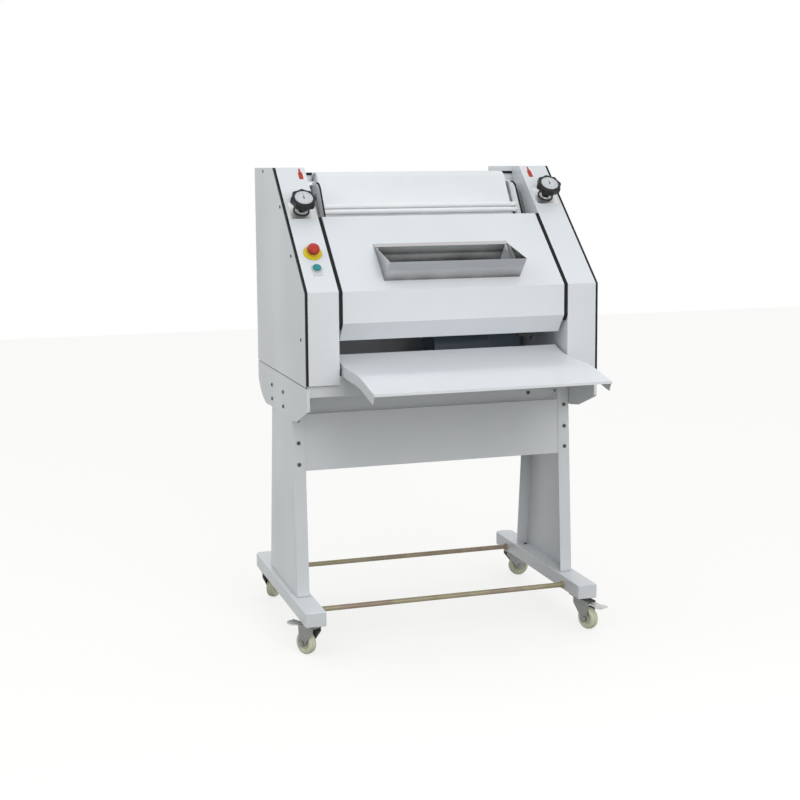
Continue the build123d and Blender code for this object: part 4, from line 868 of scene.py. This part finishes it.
def knob_form():
    """The knob from the bore in its neck up over the lobed head to the dial's recess."""
    neck = [(0.0, 0.048), (screw_bore, 0.048), (screw_bore, 0.0055), (0.0118, 0.0055), (0.0125, 0.0062)]
    neck += [(0.0127, 0.012), (0.0136, 0.019), (0.0155, 0.026), (0.0186, 0.0318), (0.0226, 0.035)]
    head = [(0.006, 0.036), (0.0026, 0.0367), (0.0009, 0.0388), (0.0002, 0.042), (0.0002, 0.0545)]
    head += [(0.001, 0.0577), (0.003, 0.06), (0.0056, 0.0609)]
    recess = [(0.0324, 0.061), (0.0307, 0.0609), (0.03, 0.0602), (0.03, 0.059), (0.0, 0.059)]
    rings = circle_rings(neck, knob_sides)
    rings += [lobed_points(inset, height) for inset, height in head]
    return skinned_form(rings + circle_rings(recess, knob_sides))


for side, (x, up) in knob_places.items():
    place_piece("knob_moulded_" + side, knob_form(), black_plastic, side + "_knob", "black_plastic",
                "knob_" + side, seat=on_slope(x, up), smooth_angle=50.0)

# Dials of the knobs: white enamelled discs let into the heads, with a scale printed in grey.
# A dark needle on a hub shows how far the roller or the board is set.
dial_white = moulded_plastic("dial_enamel", (0.63, 0.65, 0.67), (0.59, 0.61, 0.63),
                             rough=0.25, grain=300.0, depth=0.0001)
grey_print = moulded_plastic("grey_print", (0.1, 0.105, 0.11), (0.13, 0.135, 0.14),
                             rough=0.45, grain=600.0, depth=0.0001)
dial_top = 0.0597
dial_disc = [(0.0, 0.05902), (0.0292, 0.05902), (0.0294, 0.0592), (0.0294, dial_top), (0.0289, 0.0601)]
dial_disc += [(0.0284, dial_top), (0.0, dial_top)]
mark_rise = 0.00012
mark_middle = dial_top + mark_rise / 2


def lettering(words, size, place):
    """Flat figures as a mesh, centred on a place."""
    curve = bpy.data.curves.new("figures", "FONT")
    curve.body = words
    curve.size = size
    curve.align_x = "CENTER"
    curve.align_y = "CENTER"
    curve.extrude = mark_rise / 2
    figure = new_object("figures", curve)
    graph = bpy.context.evaluated_depsgraph_get()
    mesh = bpy.data.meshes.new_from_object(figure.evaluated_get(graph), depsgraph=graph)
    bpy.data.objects.remove(figure)
    mesh.transform(place)
    return mesh


figure_ring = 0.0203
figure_size = 0.0058
figure_count = 10
tick_rows = [(50, 0.0266, (0.002, 0.0004, mark_rise)), (10, 0.0258, (0.0036, 0.0008, mark_rise))]
needle_low = dial_top + 0.0002
needle_high = dial_top + 0.0006
needle_outline = [(-0.0013, 0.0), (-0.0009, -0.006), (0.0009, -0.006), (0.0013, 0.0), (0.0, 0.0165)]
hub_profile = [(0.0, 0.0598), (0.0026, 0.0598), (0.0026, 0.0604), (0.0018, 0.0608), (0.0, 0.0609)]
for side, (x, up) in knob_places.items():
    seat = on_slope(x, up)
    body = side + "_knob"
    place_piece("dial_disc_" + side, turned_form(dial_disc, sides=96), dial_white, body, "white_paint",
                seat=seat, smooth_angle=30.0)
    scale_form = bmesh.new()
    for count, radius, size in tick_rows:
        ticks = ring_of_ribs("ticks", grey_print, count, radius, mark_middle, size)
        scale_form.from_mesh(ticks.data)
        bpy.data.objects.remove(ticks)
    for figure in range(figure_count):
        turn = Matrix.Rotation(-2 * math.pi * figure / figure_count, 4, "Z")
        lift = Matrix.Translation((0.0, figure_ring, mark_middle))
        scale_form.from_mesh(lettering(str(figure), figure_size, turn @ lift))
    place_piece("dial_scale_" + side, scale_form, grey_print, body, "black_plastic", seat=seat)
    needle_form = pushed_form(needle_outline, needle_low, needle_high)
    join_form(needle_form, turned_form(hub_profile, sides=24))
    place_piece("dial_needle_" + side, needle_form, black_plastic, body, "black_plastic", seat=seat)

# Emergency stop: a red mushroom head with a ribbed rim, on a yellow collar.
# The head is pushed in and stays in until it is twisted out.
stop_up = 0.168
stop_seat = on_slope(-strip_x, stop_up)
red_plastic = moulded_plastic("red_plastic", (0.5, 0.035, 0.018), (0.45, 0.03, 0.016),
                              rough=0.32, shine=0.35)
yellow_plastic = moulded_plastic("yellow_plastic", (0.74, 0.6, 0.02), (0.68, 0.54, 0.02),
                                 rough=0.34, shine=0.35)
rounded_copy("estop_collar", yellow_plastic, "frame", "yellow_plastic", fold=0.0012, rim=0.0006)
stop_profile = [(0.0, -0.012), (0.0078, -0.012), (0.008, -0.0118), (0.008, 0.014), (0.018, 0.014)]
stop_profile += [(0.0192, 0.0145), (0.0196, 0.0155), (0.0196, 0.0225), (0.019, 0.0238), (0.0187, 0.0255)]
stop_profile += [(0.018, 0.0276), (0.016, 0.0294), (0.0125, 0.0304), (0.007, 0.0308), (0.0, 0.031)]
place_piece("stop_head", turned_form(stop_profile, sides=72), red_plastic, "emergency_stop", "red_plastic",
            "estop_head", seat=stop_seat, smooth_angle=35.0)
stop_ribs = ring_of_ribs("stop_ribs", red_plastic, count=44, radius=0.0194, height=0.0191,
                         size=(0.0011, 0.0012, 0.0056))
stop_ribs.data.transform(stop_seat)
fit_piece(stop_ribs, "emergency_stop", "red_plastic")

# Start button: a green cap in a pale ring, on a blank tag plate.
# A spring behind the cap pushes it out again.
start_up = 0.1
green_plastic = moulded_plastic("green_plastic", (0.02, 0.27, 0.29), (0.017, 0.235, 0.25),
                                rough=0.3, shine=0.35)
pale_plastic = moulded_plastic("pale_plastic", (0.64, 0.66, 0.67), (0.6, 0.62, 0.63), rough=0.4)
rounded_copy("start_bezel", pale_plastic, "frame", "grey_plastic", fold=0.0008)
start_profile = [(0.0, -0.006), (0.0049, -0.006), (0.005, -0.0059), (0.005, 0.0046), (0.013, 0.0046)]
start_profile += [(0.0132, 0.0049), (0.0132, 0.0086), (0.0127, 0.0095), (0.0116, 0.01), (0.0104, 0.0099)]
start_profile += [(0.0085, 0.0096), (0.0, 0.0094)]
place_piece("start_cap", turned_form(start_profile, sides=56), green_plastic, "start_button",
            "green_plastic", "start_button", seat=on_slope(-strip_x, start_up), smooth_angle=35.0)

# Red marks near the towers' tops: thin stickers, each with a broad body and a narrow neck.
# They point up the slope, one above each knob.
mark_places = {"left": -0.404, "right": 0.413}
mark_foot = 0.511
mark_thick = 0.0003
mark_half = [(0.0058, 0.0), (0.0072, 0.0014), (0.0074, 0.006), (0.0074, 0.027), (0.0066, 0.0312)]
mark_half += [(0.004, 0.0352), (0.0031, 0.038), (0.003, 0.0496), (0.0022, 0.0508)]
mark_outline = mark_half + [(-x, y) for x, y in mark_half[::-1]]
for side, mark_x in mark_places.items():
    place_piece("gap_mark_" + side, pushed_form(mark_outline, 0.0, mark_thick), red_plastic,
                "frame", "red_plastic", seat=on_slope(mark_x, mark_foot))

# Floor, light and camera: a plain pale studio, seen from where the photograph was taken.
# Light comes from a bright ceiling, a soft lamp in front and a weaker one at the left.
# The floor shows white to the eye and in reflections, and keeps a soft shadow.
def background_rays(tree):
    """A mask of the rays that see the pale background: the eye's, reflected and passed through."""
    rays = add_node(tree, "ShaderNodeLightPath").outputs
    bright_inputs = {0: rays["Is Camera Ray"], 1: rays["Is Glossy Ray"]}
    bright = add_output(tree, "ShaderNodeMath", bright_inputs, operation="MAXIMUM")
    through_inputs = {0: bright, 1: rays["Is Transmission Ray"]}
    return add_output(tree, "ShaderNodeMath", through_inputs, operation="MAXIMUM")


floor_size = 9.0
floor_colour = (0.31, 0.305, 0.28)
floor_glow = 0.72
floor_mesh = bpy.data.meshes.new("floor")
floor_signs = ((-1, -1), (1, -1), (1, 1), (-1, 1))
floor_corners = [(x * floor_size, y * floor_size, 0.0) for x, y in floor_signs]
floor_mesh.from_pydata(floor_corners, [], [(0, 1, 2, 3)])
floor_finish, floor_tree = start_finish("pale_floor")
floor_diffuse = add_output(floor_tree, "ShaderNodeBsdfDiffuse", {"Color": floor_colour})
floor_share_inputs = {0: background_rays(floor_tree), 1: floor_glow}
floor_share = add_output(floor_tree, "ShaderNodeMath", floor_share_inputs, operation="MULTIPLY")
floor_shine = add_output(floor_tree, "ShaderNodeEmission", {"Strength": floor_share})
floor_sum = add_output(floor_tree, "ShaderNodeAddShader", {0: floor_diffuse, 1: floor_shine})
add_node(floor_tree, "ShaderNodeOutputMaterial", {"Surface": floor_sum})
floor_mesh.materials.append(floor_finish)
floor = new_object("floor", floor_mesh)

world = bpy.data.worlds.new("studio")
world.use_nodes = True
sky = world.node_tree
sky.nodes.clear()
ceiling_light = 0.97
wall_light = 0.38
sky_blue = (0.96, 0.98, 1.0)
sky_way = add_output(sky, "ShaderNodeTexCoord", output="Generated")
sky_height = add_output(sky, "ShaderNodeSeparateXYZ", {0: sky_way}, "Z")
sky_level = spread(sky, sky_height, full_span, (wall_light, ceiling_light))
sky_fill = add_output(sky, "ShaderNodeBackground", {"Color": sky_blue, "Strength": sky_level})
sky_white = add_output(sky, "ShaderNodeBackground", {"Color": (1.0, 1.0, 1.0), "Strength": 1.0})
sky_mix_inputs = {0: background_rays(sky), 1: sky_fill, 2: sky_white}
sky_mix = add_output(sky, "ShaderNodeMixShader", sky_mix_inputs)
add_node(sky, "ShaderNodeOutputWorld", {"Surface": sky_mix})
bpy.context.scene.world = world


def soft_lamp(name, place, target, size, power, colour):
    """A square studio lamp aimed at a point."""
    lamp = bpy.data.lights.new(name, "AREA")
    lamp.size = size
    lamp.energy = power
    lamp.color = colour
    holder = new_object(name, lamp)
    holder.location = place
    holder.rotation_euler = (Vector(target) - Vector(place)).to_track_quat("-Z", "Y").to_euler()
    holder.visible_camera = False


soft_lamp("front_lamp", place=(0.1, -3.1, 2.1), target=(0.0, 0.0, 1.2), size=1.8, power=37.0,
          colour=(1.0, 1.0, 1.0))
soft_lamp("left_lamp", place=(-2.6, -0.6, 3.0), target=(-0.4, 0.1, 1.1), size=1.8, power=12.0,
          colour=(0.8, 1.0, 0.98))

photo_size = 800.0
focal_pixels = 1432.35
axis_row = 340.0
camera_place = (-1.5217, -4.4648, 1.5567)
camera_yaw = math.radians(17.435)
camera_pitch = math.radians(6.972)
camera_roll = math.radians(-0.416)
lens = bpy.data.cameras.new("photo_camera")
lens.sensor_width = 36.0
lens.sensor_fit = "HORIZONTAL"
lens.lens = focal_pixels * lens.sensor_width / photo_size
lens.shift_y = (axis_row - photo_size / 2) / photo_size
camera = new_object("photo_camera", lens)
camera_aim = Matrix.Rotation(-camera_yaw, 4, "Z")
camera_aim @= Matrix.Rotation(math.radians(90.0) - camera_pitch, 4, "X")
camera_aim @= Matrix.Rotation(camera_roll, 4, "Z")
camera.matrix_world = Matrix.Translation(camera_place) @ camera_aim
bpy.context.scene.camera = camera
bpy.context.scene.view_settings.view_transform = "Standard"
